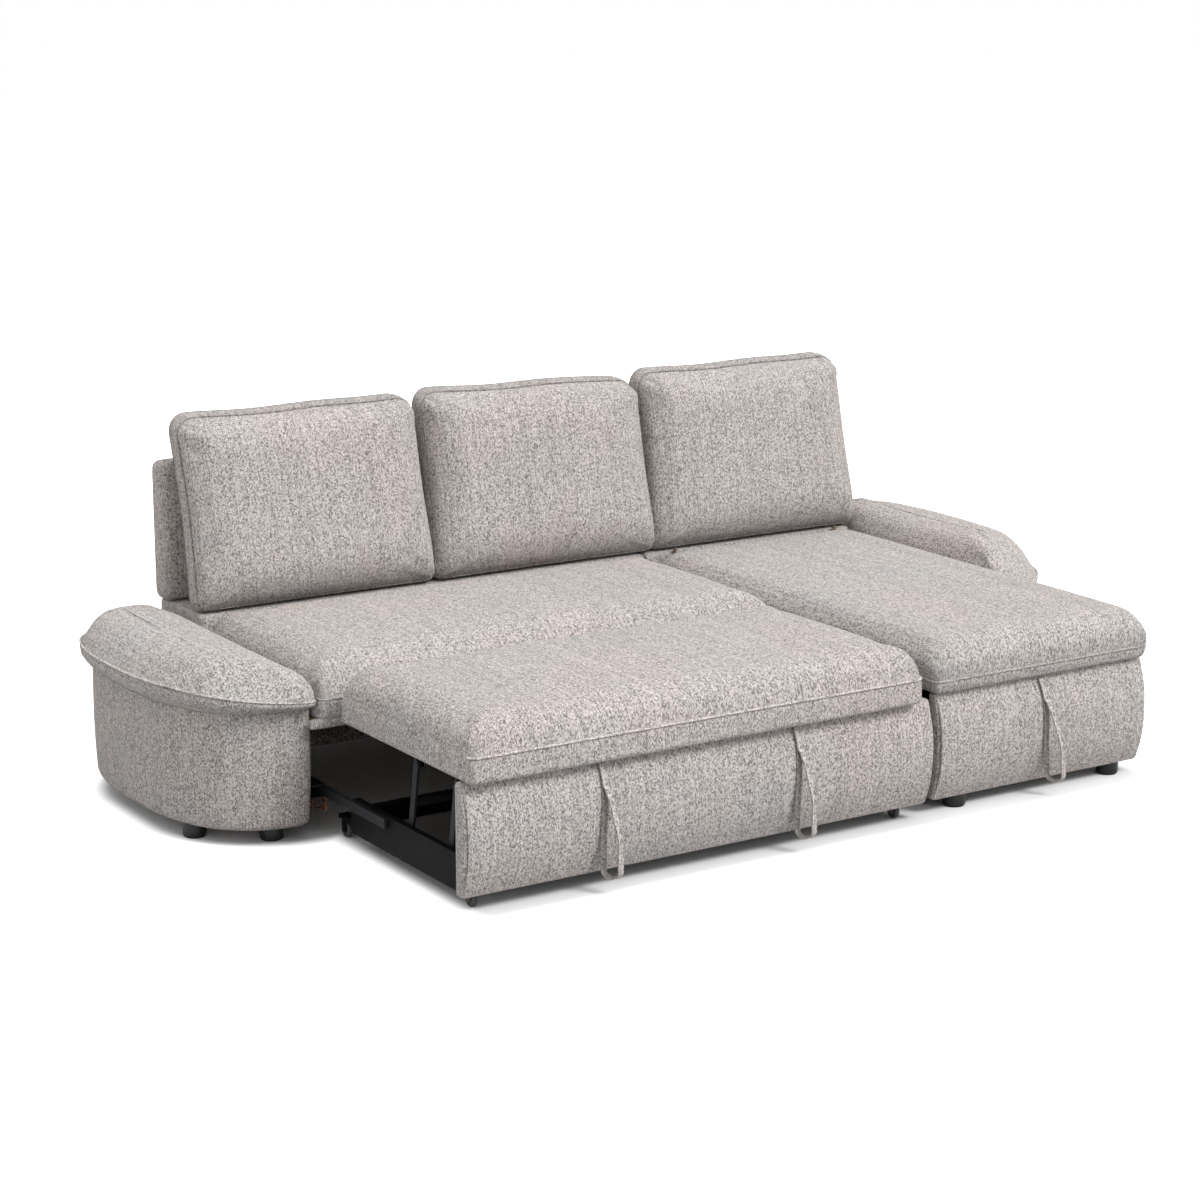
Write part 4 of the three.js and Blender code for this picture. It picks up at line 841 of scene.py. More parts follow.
def even_loop(loop, spacing):
    """The same closed line with its points evenly spaced"""
    closed = np.concatenate([loop, loop[:1]])
    travelled = np.concatenate([[0], np.cumsum(np.linalg.norm(np.diff(closed, axis=0), axis=1))])
    count = max(8, int(travelled[-1] / spacing))
    places = np.linspace(0, travelled[-1], count, endpoint=False)
    return np.stack([np.interp(places, travelled, closed[:, k]) for k in range(loop.shape[1])], -1)


def eased_loop(loop, reach):
    """Closed line whose corners are eased by averaging each point with its neighbours, weighted
    by a bell that is the reach wide each way"""
    total = np.zeros_like(loop)
    weight = 0.0
    for step in range(-reach, reach + 1):
        share = math.cos(step / (reach + 1) * math.pi / 2) ** 2
        total += share * np.roll(loop, step, 0)
        weight += share
    return total / weight


class SofaOperator(bpy.types.Operator):
    """Makes one piece of the sofa, or a group of like pieces"""

    bl_options = {"REGISTER", "UNDO"}

    def execute(self, context):
        """Makes the pieces, and raises an error if they can't be finished"""
        self.make()
        return {"FINISHED"}


class SOFA_OT_seat(SofaOperator):
    """Makes the two-seat bench cushion"""

    bl_idname = "sofa.seat"
    bl_label = "Seat Cushion"

    def make(self):
        """A long soft roll at the front, and a welt low on its sides"""
        form = PadForm("seat_cushion", sizes().seat_welt, sizes().seat_roll * 0.6, crown=0.014,
                       corner=0.016, seed=3, front_roll=sizes().seat_roll, bulge=0.004,
                       front_slope=0.004)
        pad = form.make("seat_pad", shift=(0.31, 0.17))
        dress(pad, "base", "upholstery", "seat_cushion")
        # The welt takes a slightly darker copy of the cloth, painted shade along the seam
        sewn_cord("seat_welt", "base", form.welt_loop(out=0.001), 0.8, "chenille_welt_painted_shade")


class SOFA_OT_mattress(SofaOperator):
    """Makes the pull-out bed's mattress with its front welt"""

    bl_idname = "sofa.mattress"
    bl_label = "Mattress"

    end_tuck = (0.004, 0.002, -0.001)

    def make(self):
        """A band below the welt, a welt along the front only whose lighter cloth is a painted highlight,
        and a gentle roll above
        """
        form = PadForm("mattress", sizes().mattress_welt, sizes().mattress_roll, crown=0.009,
                       corner=0.022, seed=5, bulge=0.005)
        pad = form.make("mattress_pad", shift=(0.13, 0.71))
        dress(pad, "mattress_platform", "upholstery", "mattress")
        loop = form.welt_loop(lift=0.0005, out=0.0022)
        front = loop[loop[:, 1] < form.centre[1] - form.half[1] + form.corner]
        front = front[np.argsort(front[:, 0])]
        ends = front[[0, -1]] + np.array(self.end_tuck) * [[-1, 1, 1], [1, 1, 1]]
        line = np.concatenate([ends[:1], front, ends[1:]])
        # The front welt takes the copy of the cloth lightened as a painted highlight
        sewn_cord("mattress_welt", "mattress_platform", line, 1.0, "chenille_painted_highlight", closed=False)


class SOFA_OT_lid(SofaOperator):
    """Makes the chaise's padded lid"""

    bl_idname = "sofa.lid"
    bl_label = "Chaise Lid"

    def make(self):
        """A narrow band that draws in below, a welt of the same cloth darkened slightly as painted
        shade, and a wide roll
        """
        form = PadForm("lid_cushion", sizes().lid_welt, sizes().lid_roll, crown=0.012,
                       corner=0.018, seed=8, hem=0.006, bulge=0.009, undercut=0.012)
        pad = form.make("lid_pad", shift=(0.53, 0.29))
        dress(pad, "chaise_lid", "upholstery", "lid_cushion")
        # The welt takes a slightly darker copy of the cloth, painted shade along the seam
        sewn_cord("lid_welt", "chaise_lid", form.welt_loop(out=0.0015), 0.9, "chenille_welt_painted_shade")


class SOFA_OT_back_cushions(SofaOperator):
    """Makes the three loose back cushions"""

    bl_idname = "sofa.back_cushions"
    bl_label = "Back Cushions"

    lean = math.radians(9.5)
    draw_in = 0.006
    sag_shares = (0.7, 0.25)
    front_crown = 0.062
    rear_crown = 0.052
    front_drop = 0.014
    bottom_corner = 0.03
    bottom_spread = 0.006
    top_wave = 0.0022
    top_wave_turn = 5.5
    side_gap = 0.001
    height_gap = 0.003
    rear_gap = 0.001
    ledge_gap = 0.0005
    border_cuts_inset = 0.004
    grid_share = 0.9
    low_roll_share = 1.9
    face_fullness = (2.6, 2.4)
    belly_shares = (0.8, 0.2, 0.06)
    unevenness = 0.002
    ripple_scale = 1.6
    border_puff = 0.0035
    seam_share = 0.8
    border_lay_share = 0.9
    unrolled_share = 0.5
    welt_inset = 0.0012
    # Each cushion's slope of its top, spread of its right side, lean sideways and droop of its
    # right top corner
    slumps = {"left": (0.0, 0.0, -0.018, 0.0), "middle": (-0.006, 0.012, -0.004, 0.016),
              "right": (0.0, 0.024, 0.0, 0.0)}

    def make(self):
        """Each cushion has a border darkened as painted shade, between two welts whose darkness is
        partly their own colour and partly painted shade, and a swollen face each way
        """
        for index, name in enumerate(("left", "middle", "right")):
            self.cushion(name, 11 + index)

    def outline(self, x, y, z, half_x, half_z, slump):
        """Rounded rectangle with its sides drawn in between the corners, and two dips on top.
        The front panel's top is lower than the rear one's, so the border slopes. A slumped
        cushion's top slopes, its right side spreads downwards, it leans sideways, and its right
        top corner droops."""
        corner = np.where(z > 0, sizes().cushion_corner, self.bottom_corner)
        px, pz = round_corners(x, z, half_x, half_z, corner)
        s, t = px / half_x, pz / half_z
        px = px - np.sign(px) * self.draw_in * (1 - t ** 2) * np.abs(s) ** 3
        slope, spread, sideways, droop = slump
        px = px + self.bottom_spread * np.clip(-t, 0, 1) * s
        px = px + spread * np.clip(s, 0, 1) ** 2 * (1 - t) / 2
        px = px + sideways * (1 + t) / 2
        pz = pz + (slope * s - droop * np.clip(s, 0, 1) ** 6) * np.clip(t, 0, 1)
        forward = np.clip(0.5 - y / sizes().cushion_band, 0, 1)
        pz = pz - self.front_drop * forward * np.clip(t, 0, 1) ** 2
        sag = self.draw_in * (1 - s ** 2) * np.where(t > 0, *self.sag_shares) * np.abs(t) ** 3
        waves = self.top_wave * np.sin(s * self.top_wave_turn + half_x)
        waves = waves * np.clip(t, 0, 1) ** 4 * (1 - s ** 4)
        return px, pz - np.sign(pz) * sag + waves

    def cushion(self, name, seed):
        """One cushion, leaning back and resting on the ledge"""
        node = f"{name}_back_cushion"
        low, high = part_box(node)
        slump = self.slumps[name]
        half_x = (high.x - low.x) / 2 - self.side_gap
        half_z = (high.z - low.z) / 2 / math.cos(self.lean) - self.height_gap
        band = sizes().cushion_band / 2
        roll = sizes().cushion_roll
        step = sizes().grid_step * self.grid_share
        x_cuts = cuts(-half_x, half_x, roll, roll, step, rows=7)
        z_cuts = cuts(-half_z, half_z, roll, roll, step, rows=7)
        inset = band - self.border_cuts_inset
        y_cuts = np.concatenate([[-band], np.linspace(-inset, inset, 6), [band]])
        points, faces, sides = box_grid([x_cuts, y_cuts, z_cuts])
        x, y, z = points.T
        front, rear = y < -band + NEAR, y > band - NEAR
        upright_roll = np.where(front & (z < 0), roll * self.low_roll_share, roll)
        share = rise(x, half_x, roll, self.face_fullness[0])
        share = share * rise(z, half_z, upright_roll, self.face_fullness[1])
        s, t = x / half_x, z / half_z
        even, domed, low_down = self.belly_shares
        belly = even + domed * ((1 - s ** 2) * (1 - t ** 2)) ** 0.5
        belly = belly + low_down * (1 - s ** 2) * (-t)
        uneven = self.unevenness * ripples(x * self.ripple_scale, z * self.ripple_scale, seed)
        swell = np.where(front, -1.0, 1.0) * share * (
            np.where(front, self.front_crown, self.rear_crown) * belly + uneven)
        px, pz = self.outline(x, y, z, half_x, half_z, slump)
        seam = sizes().seam_depth
        border = ~(front | rear)
        puffed = np.where(border, -self.border_puff * (1 - (y / band) ** 2), 0)
        puffed = puffed + np.where(front | rear, seam * self.seam_share * (1 - share), 0)
        tight = sizes().cushion_corner
        out_x = px - np.clip(px, -half_x + tight, half_x - tight)
        out_z = pz - np.clip(pz, -half_z + tight, half_z - tight)
        reach = np.maximum(np.hypot(out_x, out_z), TINY)
        px = px - out_x / reach * puffed
        pz = pz - out_z / reach * puffed
        py = np.where(front | rear, y + swell, y)
        flat = np.stack([x, y * self.border_lay_share, z], -1)
        extra = (1 - share) * self.front_crown * self.unrolled_share * (front | rear)
        flat[:, 0] += np.sign(x) * extra
        flat[:, 2] += np.sign(z) * extra
        placed, shift = self.stand(np.stack([px, py, pz], -1), low, high)
        uv = lay_cloth(flat, faces, sides, (0.23 * seed, 0.11 * seed))
        piece = new_piece(f"{name}_cushion_pad", placed, faces, uv, chenille(), subdivide=1)
        # The border takes a copy of the cloth darkened as painted shade
        piece.data.materials.append(chenille("chenille_band_painted_shade"))
        piece.data.polygons.foreach_set("material_index", (sides[:, 0] != 1).astype(np.int32))
        inflate(piece, border | (share < NEAR), sizes().puff)
        body = f"{name}_loose_cushion"
        dress(piece, body, "upholstery", node)
        for side, depth in (("front", -band), ("rear", band)):
            square = np.array([(1, 1), (-1, 1), (-1, -1), (1, -1)]) * (half_x, half_z)
            ring = even_loop(square, 0.006)
            edge_x, edge_z = self.outline(ring[:, 0], depth, ring[:, 1], half_x, half_z, slump)
            line = np.stack([edge_x, np.full(len(edge_x), depth), edge_z], -1)
            line = eased_loop(even_loop(line, 0.01), 1)
            line[:, [0, 2]] *= 1 - self.welt_inset / half_z
            line = self.stand(line, low, high, shift)[0]
            # Each welt takes the darkest copy of the cloth: partly the welt's own darker colour, partly
            # painted shade
            sewn_cord(f"{name}_cushion_{side}_welt", body, line, 0.75, "chenille_dark_and_painted_shade",
                      across=(0, 1, 0.1))

    def stand(self, points, low, high, shift=None):
        """Leans the cushion back about X and moves it to its node's place, middle on middle"""
        cos, sin = math.cos(self.lean), math.sin(self.lean)
        x, y, z = points.T
        turned = np.stack([x, y * cos + z * sin, z * cos - y * sin], -1)
        if shift is None:
            lowest, highest = turned.min(0), turned.max(0)
            shift = np.array([(low.x + high.x) / 2, high.y - highest[1] - self.rear_gap,
                              low.z - lowest[2] + self.ledge_gap])
        return turned + shift, shift


class ArmForm:
    """D-shaped arm: a wall round a half superellipse, under a pillow that overhangs it.

    Across is reach * cos^(2/n) and along is half its length * sin^(2/n) over the half turn, n
    being the fullness, with a flat side on the inside, and the corners are eased."""

    fullness = 2.6
    forward = 0.022
    lifted = 0.008
    # the wall
    middle_share = 0.45
    hem = 0.012
    top_row = 0.004
    foot_taper = 0.008
    foot_taper_share = 0.6
    wall_bow = 0.0025
    wall_unevenness = 0.0014
    # the pillow
    ridge_inset = 0.235
    shoulder = 0.175
    piping_low = 0.351
    piping_power = 1.26
    piping_inset = 0.002
    soft_powers = (3.2, 0.88)
    steep_powers = (2.6, 0.42)
    lower_shares = (0.06, 0.16, 0.32, 0.55, 0.8)
    lower_power = 2.6
    lower_belly = 0.004
    eased_power = 5
    front_fall = 0.003
    unevenness = 0.0022
    sewn_rows = 2 + len(lower_shares)
    # Each pillow's height over its node's top, its ridge's place outward, and how far its piping
    # climbs
    crowns = {"left": (-0.020, 0.62, 0.035), "right": (0.0, 0.385, 0.010)}

    def __init__(self, side):
        self.name = "left" if side < 0 else "right"
        self.side = side
        low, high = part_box(f"{self.name}_arm_base")
        top_low, top_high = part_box(f"{self.name}_arm_cushion")
        self.inner = high.x if side < 0 else low.x
        self.reach = high.x - low.x
        self.rear = top_high.y
        self.overhang = (top_high.x - top_low.x) - self.reach
        self.length = self.rear - top_low.y - self.overhang
        self.middle = self.rear - self.length / 2
        self.bottom, self.base_top = low.z + self.lifted, high.z
        rise_above, self.ridge_share, self.piping_rise = self.crowns[self.name]
        self.pillow_bottom, self.pillow_top = top_low.z, top_high.z + rise_above

    def outline(self, grow, ease=6, spacing=0.007):
        """Closed outline in x outward and y, grown outward and forwards"""
        angle = np.linspace(math.pi / 2, -math.pi / 2, 240)
        power = 2 / self.fullness
        out = np.abs(np.cos(angle)) ** power * (self.reach + grow)
        length_each = self.length / 2 + np.where(angle < 0, grow + self.forward, 0)
        along = self.middle + np.abs(np.sin(angle)) ** power * np.sign(np.sin(angle)) * length_each
        out[0] = out[-1] = 0.0
        return eased_loop(even_loop(np.stack([out, along], -1), spacing), ease)

    def placed(self, out, y, z):
        """Points of a ring from their place outward of the inner face"""
        x = self.inner + self.side * out
        return np.stack([x, y, z], -1)

    def rings(self, rows):
        """Rings as a mesh, turned so that its faces point outwards on either arm"""
        rows = np.asarray(rows)
        return rows[:, ::-1] if self.side < 0 else rows

    def base_mesh(self):
        """Wall with a tucked hem, drawn in slightly towards the floor and swelling midway"""
        outline = self.outline(0)
        middle = np.array([self.reach * self.middle_share, self.middle])
        hem, tall = self.hem, self.base_top - self.bottom
        rows = []
        lifts = np.concatenate([
            hem * (1 - np.cos(np.linspace(0, math.pi / 2, 5))),
            np.linspace(hem, tall - self.top_row, 14)[1:], [tall]])
        for lift in lifts:
            share = lift / tall
            tuck = hem * (1 - math.sin(min(lift / hem, 1) * math.pi / 2))
            taper = self.foot_taper * (1 - min(share / self.foot_taper_share, 1)) ** 1.5
            bow = self.wall_bow * math.sin(share * math.pi)
            shrink = 1 - (tuck + taper - bow) / self.reach
            ring = middle + (outline - middle) * [shrink, 1 - (1 - shrink) * 0.5]
            ring[:, 0] = np.maximum(ring[:, 0], np.minimum(outline[:, 0], 0.0) + tuck)
            uneven = ripples(ring[:, 1] * 3, np.full(len(ring), lift * 3), 21 + self.side)
            outward = np.clip(outline[:, 0] / self.reach * 3, 0, 1)
            ring[:, 0] += self.wall_unevenness * uneven * outward
            height = np.full(len(ring), self.bottom + lift)
            rows.append(self.placed(ring[:, 0], ring[:, 1], height))
        return ring_mesh(self.rings(rows), *self.poles(rows))

    def poles(self, rows):
        """Middle points that close the first and last rings"""
        ends = []
        for row in (rows[0], rows[-1]):
            spot = row.mean(0)
            spot[0] = self.inner + self.side * self.reach * self.middle_share
            ends.append(spot)
        return ends

    def piping_heights(self, outline):
        """The piping climbs from the inner face outward, by the 1.26th power of the way"""
        outward = np.clip(outline[:, 0] / self.reach, 0, 1)
        return self.piping_low + self.piping_rise * outward ** self.piping_power

    def pillow_mesh(self):
        """Under the piping the pillow draws in to the wall, by the overhang times a power of
        what is left of the way up, and above it the dome climbs to a ridge. A point of the dome
        is a share of the way from the ridge to the piping, and its height is one less a power of
        that share, raised to a second one: steep on the inside, soft on the outside."""
        outline = self.outline(self.overhang)
        softer = self.outline(self.overhang, ease=16)
        piping = self.piping_heights(outline)
        ridge_out = self.reach * self.ridge_share
        front = outline[:, 1].min()
        ridge_y = np.clip(outline[:, 1], front + self.ridge_inset, self.rear - self.ridge_inset)
        ridge = np.stack([np.full(len(outline), ridge_out), ridge_y], -1)
        away = outline - ridge
        reach = np.linalg.norm(away, axis=1)[:, None]
        direction = away / reach
        height = self.pillow_top - piping
        rows = []
        lower = piping - self.pillow_bottom
        bottom_ring = outline - direction * self.overhang
        rows.append((bottom_ring, np.full(len(outline), self.pillow_bottom)))
        for share in self.lower_shares:
            inward = self.overhang * (1 - share) ** self.lower_power
            belly = self.lower_belly * math.sin(share * math.pi)
            ring = outline - direction * (inward - belly)
            rows.append((ring, self.pillow_bottom + lower * share))
        rows.append((outline - direction * self.piping_inset, piping))
        near = 1 - np.geomspace(0.004, 0.16, 8)
        shares = np.concatenate([near, np.linspace(near[-1], 0.0, 15)[1:-1], [0.03]])
        inward = np.clip(1 - outline[:, 0] / self.shoulder, 0, 1)
        steep = inward ** 2 * (3 - 2 * inward)
        steep *= np.clip((self.rear - outline[:, 1]) / self.ridge_inset, 0, 1)
        for share in shares:
            soft_rise, steep_rise = [(1 - share ** first) ** second
                                     for first, second in (self.soft_powers, self.steep_powers)]
            swell = soft_rise + (steep_rise - soft_rise) * steep
            sharp = share ** self.eased_power
            spot = ridge + (outline * sharp + softer * (1 - sharp) - ridge) * share
            forward = (self.rear - spot[:, 1]) / self.length
            climb = height - self.front_fall * forward
            uneven = self.unevenness * ripples(spot[:, 0] * 3, spot[:, 1] * 2, 31 + self.side)
            rows.append((spot, piping + climb * swell + uneven * swell))
        rings = [self.placed(spot[:, 0], spot[:, 1], z) for spot, z in rows]
        distances = np.cumsum(np.linalg.norm(np.diff(np.array(rings)[::-1], axis=0), axis=2), 0)
        distances = np.concatenate([distances[::-1], np.zeros((1, len(outline)))])
        lays = ridge[None] + direction[None] * distances[..., None]
        if self.side < 0:
            lays = lays[:, ::-1]
        under, crown = self.poles(rings)
        crown[0] = self.inner + self.side * ridge_out
        return ring_mesh(self.rings(rings), under, crown, uvs=lays), outline


class SOFA_OT_arms(SofaOperator):
    """Makes both arms: an upholstered D-shaped base and its pillow"""

    bl_idname = "sofa.arms"
    bl_label = "Arms"

    def make(self):
        """Base, pillow, the piping between the pillow's two panels in cloth lightened as a painted
        highlight, and under it a dark cord that paints the crease's shade
        """
        for side in (-1, 1):
            form = ArmForm(side)
            base = new_piece(f"{form.name}_arm_wall", *form.base_mesh(), chenille())
            dress(base, "base", "upholstery", f"{form.name}_arm_base")
            mesh, outline = form.pillow_mesh()
            pillow = new_piece(f"{form.name}_arm_pillow", *mesh, chenille())
            sewn = np.arange(len(mesh[0])) < form.sewn_rows * len(outline)
            inflate(pillow, sewn, sizes().puff * 0.8)
            dress(pillow, "base", "upholstery", f"{form.name}_arm_cushion")
            # The piping's lighter cloth is a painted highlight
            line = form.placed(outline[:, 0], outline[:, 1], form.piping_heights(outline))
            sewn_cord(f"{form.name}_arm_piping", "base", line, 0.8, "chenille_painted_highlight")
            # A dark cord along the top of the wall paints the shade of the crease under the pillow
            rim = form.outline(0)
            line = form.placed(rim[:, 0], rim[:, 1], np.full(len(rim), form.base_top))
            sewn_cord(f"{form.name}_arm_crease_painted_shade", "base", line, 0.6, "chenille_dark_and_painted_shade")


class BarrelPanel:
    """Front panel whose face bows out: at a height it stands back from its belly by the bulge
    times the 2.4th power of the share of the way from the middle to its top or bottom."""

    bulge = 0.033
    power = 2.4
    edge = 0.009
    side_step = 0.012
    face_step = 0.016
    grid_share = 1.2
    unevenness = 0.0018
    ripple_scale = 2.2
    gusset_seam = 0.006
    gusset_fill = 0.004
    groove_depth_share = 1.2
    groove_width_share = 0.6
    groove_cut_shares = (-1.6, -0.9, -0.4, 0, 0.4, 0.9, 1.6)
    thread_depth = 0.0028

    def __init__(self, node, seed):
        self.low, self.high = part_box(node)
        self.seed = seed

    def belly(self, z):
        """How far the face stands behind its belly at a height"""
        middle = (self.low.z + self.high.z) / 2
        share = np.abs((z - middle) / ((self.high.z - self.low.z) / 2))
        return self.bulge * np.minimum(share, 1) ** self.power

    def mesh(self):
        """Rounded box, bowed, with a groove on each end where the gusset is sewn in"""
        low, high = self.low, self.high
        seam = low.y + self.gusset_seam
        width = sizes().seam_width * self.groove_width_share
        x_step = sizes().grid_step * self.grid_share
        x_cuts, y_cuts, z_cuts = [
            cuts(low[axis], high[axis], self.edge, self.edge, step, rows=4)
            for axis, step in enumerate((x_step, self.side_step, self.face_step))]
        fine = seam + width * np.array(self.groove_cut_shares)
        y_cuts = np.unique(np.round(np.concatenate([y_cuts, fine]), 5))
        points, faces, sides = box_grid([x_cuts, y_cuts, z_cuts])
        centre, half = middle_and_half(low, high)
        placed = rounded_box(points - centre, half, self.edge) + centre
        x, y, z = placed.T.copy()
        forward = np.clip((high.y - y) / (high.y - low.y), 0, 1)
        uneven = ripples(x * self.ripple_scale, z * self.ripple_scale, self.seed)
        y = y + (self.belly(z) + self.unevenness * uneven) * forward ** 2
        end = np.clip(1 - (half[0] - np.abs(x - centre[0])) / self.edge, 0, 1)
        groove = dip(points[:, 1] - seam, sizes().seam_depth * self.groove_depth_share, width)
        backward = np.clip((points[:, 1] - seam) / (high.y - seam), 0, 1)
        fill = self.gusset_fill * np.sin(backward * math.pi)
        x = x - np.sign(x - centre[0]) * end ** 2 * (groove - fill)
        uv = lay_cloth(points, faces, sides, (0.37 * self.seed, 0.19 * self.seed))
        return np.stack([x, y, z], -1), faces, uv

    def seam_line(self, end):
        """The gusset's seam on one end, from the bottom to the top"""
        z = np.linspace(self.low.z + self.edge, self.high.z - self.edge, 40)
        x = self.low.x if end < 0 else self.high.x
        reach = self.high.y - self.low.y
        kept_share = ((reach - self.gusset_seam) / reach) ** 2
        y = self.low.y + self.gusset_seam + self.belly(z) * kept_share
        return np.stack([np.full(len(z), x - end * self.thread_depth), y, z], -1)


def rounded_box(points, half, radius):
    """Box with round edges: a point is taken to the nearest place of the box that is a radius
    smaller, and then out again by the radius along the unit way from there"""
    inner = np.asarray(half) - radius
    core = np.clip(points, -inner, inner)
    way = points - core
    size = np.maximum(np.linalg.norm(way, axis=1), TINY)[:, None]
    return core + way / size * np.where(size > TINY, radius, 0)


class SOFA_OT_panels(SofaOperator):
    """Makes the bowed front panels of the bed and the chaise"""

    bl_idname = "sofa.panels"
    bl_label = "Front Panels"

    chaise_reach = 0.028

    def make(self):
        """Each panel has its gusset seams, with thread along them"""
        for name, body, seed in (("bed", "bed_carriage", 2), ("chaise", "base", 7)):
            node = f"{name}_front_panel"
            panel = BarrelPanel(node, seed)
            if name == "chaise":
                panel.low.x -= self.chaise_reach
            piece = new_piece(f"{name}_panel_cover", *panel.mesh(), chenille(), subdivide=1)
            dress(piece, body, "upholstery", node)
            rows = [stitches(panel.seam_line(end), (end, 0, 0), sizes().stitch_length)
                    for end in (-1, 1)]
            thread = new_piece(f"{name}_panel_thread", *joined_parts(rows),
                               chenille("chenille_dark_and_painted_shade"))
            dress(thread, body, "upholstery")


class SOFA_OT_boxes(SofaOperator):
    """Makes the plain upholstered boxes: back frames, rear box, rear deck, rail and chaise side"""

    bl_idname = "sofa.boxes"
    bl_label = "Upholstered Boxes"

    frame_reach = 0.018
    rail_reach = 0.02
    rail_tuck = 0.03
    rail_lap = 0.007
    grid_share = 1.6
    face_pull = 0.0012
    cloth_sunk = 0.0005
    cloth_proud = 0.0035
    cloth_margin = 0.001
    cloth_edge = 0.0018
    # Each node, the name of its cover, the radius of its edges and the seed of its unevenness
    covered = (
        ("left_back_frame", "left_back_cover", 0.026, 41),
        ("right_back_frame", "right_back_cover", 0.026, 43),
        ("rear_box", "rear_box_cover", 0.010, 45),
        ("chaise_rear_deck", "rear_deck_cover", 0.010, 47),
        ("seat_front_rail", "front_rail_cover", 0.007, 49),
    )

    def make(self):
        """A rounded box for each, slightly uneven. The left frame reaches further out, and the
        rail is a narrow one that laps the deck's edge."""
        for node, name, radius, seed in self.covered:
            low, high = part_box(node)
            if node == "left_back_frame":
                low.x -= self.frame_reach
            if node == "seat_front_rail":
                low.x -= self.rail_reach
                low.z += self.rail_tuck
                high.z += self.rail_lap
            piece = new_piece(name, *self.box_mesh(low, high, radius, seed), chenille(),
                              subdivide=1)
            dress(piece, "base", "upholstery", node)
        self.chaise_side()

    def box_mesh(self, low, high, radius, seed):
        """Cut finely near its edges, and drawn in a little on its front and back faces"""
        step = sizes().grid_step * self.grid_share
        centre, half = middle_and_half(low, high)
        lists = [cuts(-half[k], half[k], radius, radius, step, rows=4) for k in range(3)]
        points, faces, sides = box_grid(lists)
        placed = rounded_box(points, half, radius)
        share = np.prod([1 - (points[:, k] / half[k]) ** 2 for k in (0, 2)], 0)
        broad = np.abs(points[:, 1]) > half[1] - NEAR
        pull = self.face_pull * np.abs(ripples(points[:, 0] * 2, points[:, 2] * 2, seed))
        placed[:, 1] -= np.where(broad, np.sign(points[:, 1]) * pull * share ** 0.3, 0)
        uv = lay_cloth(points, faces, sides, (0.07 * seed, 0.05 * seed))
        return placed + centre, faces, uv

    def chaise_side(self):
        """Cloth pulled over the chaise's outer side board, whose strut pin stays bare"""
        low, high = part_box("chaise_right_side")
        finish_node("chaise_right_side", "black_board")
        margin = self.cloth_margin
        cover_low = Vector((high.x - self.cloth_sunk, low.y + margin, low.z + margin))
        cover_high = Vector((high.x + self.cloth_proud, high.y - margin, high.z - margin))
        cover = self.box_mesh(cover_low, cover_high, self.cloth_edge, 51)
        piece = new_piece("chaise_side_cloth", *cover, chenille())
        dress(piece, "base", "upholstery")


class StrapForm:
    """Pull strap: a band sewn at its top, down the panel, round a loop and up again.

    The back leg follows the panel's belly. The front leg leaves it below the knot, by the
    opening times the 0.8th power of the share of the way down, and swings to one side. The whole
    strap leans by as much as its top stands aside of its foot."""

    knot_share = 0.2
    spread_share = 0.5
    spread_power = 0.8
    swing_power = 1.2
    front_swing = 0.015
    rear_swing = -0.009
    panel_gap = 0.0016
    width = 0.016
    thick = 0.0036
    face_sunk = 0.0004
    least_thick = 0.0003
    ridge_place_share = 0.66
    ridge_width_share = 0.17
    edge_power = 8
    opening = 0.03
    rows = 46
    section_points = 42

    def __init__(self, node, panel_node, lean):
        self.low, self.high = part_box(node)
        self.panel = BarrelPanel(panel_node, 0)
        self.lean = lean

    def path(self):
        """Middle line of the band with the way out of its face at each point"""
        middle = (self.panel.low.z + self.panel.high.z) / 2
        hang = self.low.z + self.thick + self.opening / 2
        share = np.linspace(0, 1, self.rows)
        z = self.high.z + (hang - self.high.z) * share
        belly = np.where(z > middle, self.panel.belly(z), 0)
        back = self.panel.low.y - self.panel_gap + belly
        apart = np.clip((share - self.knot_share) / self.spread_share, 0, 1) ** self.spread_power
        rear_leg = np.stack([self.rear_swing * apart, back - self.thick / 2, z], -1)
        front_leg = np.stack([self.front_swing * apart ** self.swing_power,
                              back - 3 * self.thick / 2 - self.opening * apart, z], -1)
        angle = np.linspace(0, math.pi, 16)[1:-1]
        radius = (self.opening + self.thick) / 2
        centre_y = (rear_leg[-1, 1] + front_leg[-1, 1]) / 2
        share = (1 - np.cos(angle)) / 2
        turn = np.stack([self.rear_swing + (self.front_swing - self.rear_swing) * share,
                         centre_y + radius * np.cos(angle), hang - radius * np.sin(angle)], -1)
        line = np.concatenate([rear_leg, turn, front_leg[::-1]])
        up = np.clip((line[:, 2] - hang) / (self.high.z - hang), 0, 1)
        line[:, 0] += (self.low.x + self.high.x) / 2 - self.lean * up
        return line

    def mesh(self):
        """The band's section, with a ridge near each edge, carried along the path"""
        line = self.path()
        ahead = np.gradient(line, axis=0)
        ahead /= np.linalg.norm(ahead, axis=1)[:, None]
        side = np.tile([1.0, 0.0, 0.0], (len(line), 1))
        side -= ahead * np.sum(side * ahead, 1)[:, None]
        side /= np.linalg.norm(side, axis=1)[:, None]
        out = np.cross(side, ahead)
        half = self.width / 2
        steps = np.linspace(-1, 1, self.section_points // 2)
        from_ridge = (np.abs(steps) - self.ridge_place_share) / self.ridge_width_share
        ridge = sizes().strap_ridge * np.exp(-from_ridge ** 2)
        edge = (1 - np.abs(steps) ** self.edge_power) ** 0.5
        thick = self.thick / 2 * edge - self.face_sunk + ridge * edge
        upper = np.stack([steps * half, np.maximum(thick, self.least_thick)], -1)
        section = np.concatenate([upper, (upper * [1, -1])[::-1]])
        rings = (line[:, None] + side[:, None] * section[None, :, :1]
                 + out[:, None] * section[None, :, 1:])
        return ring_mesh(rings)


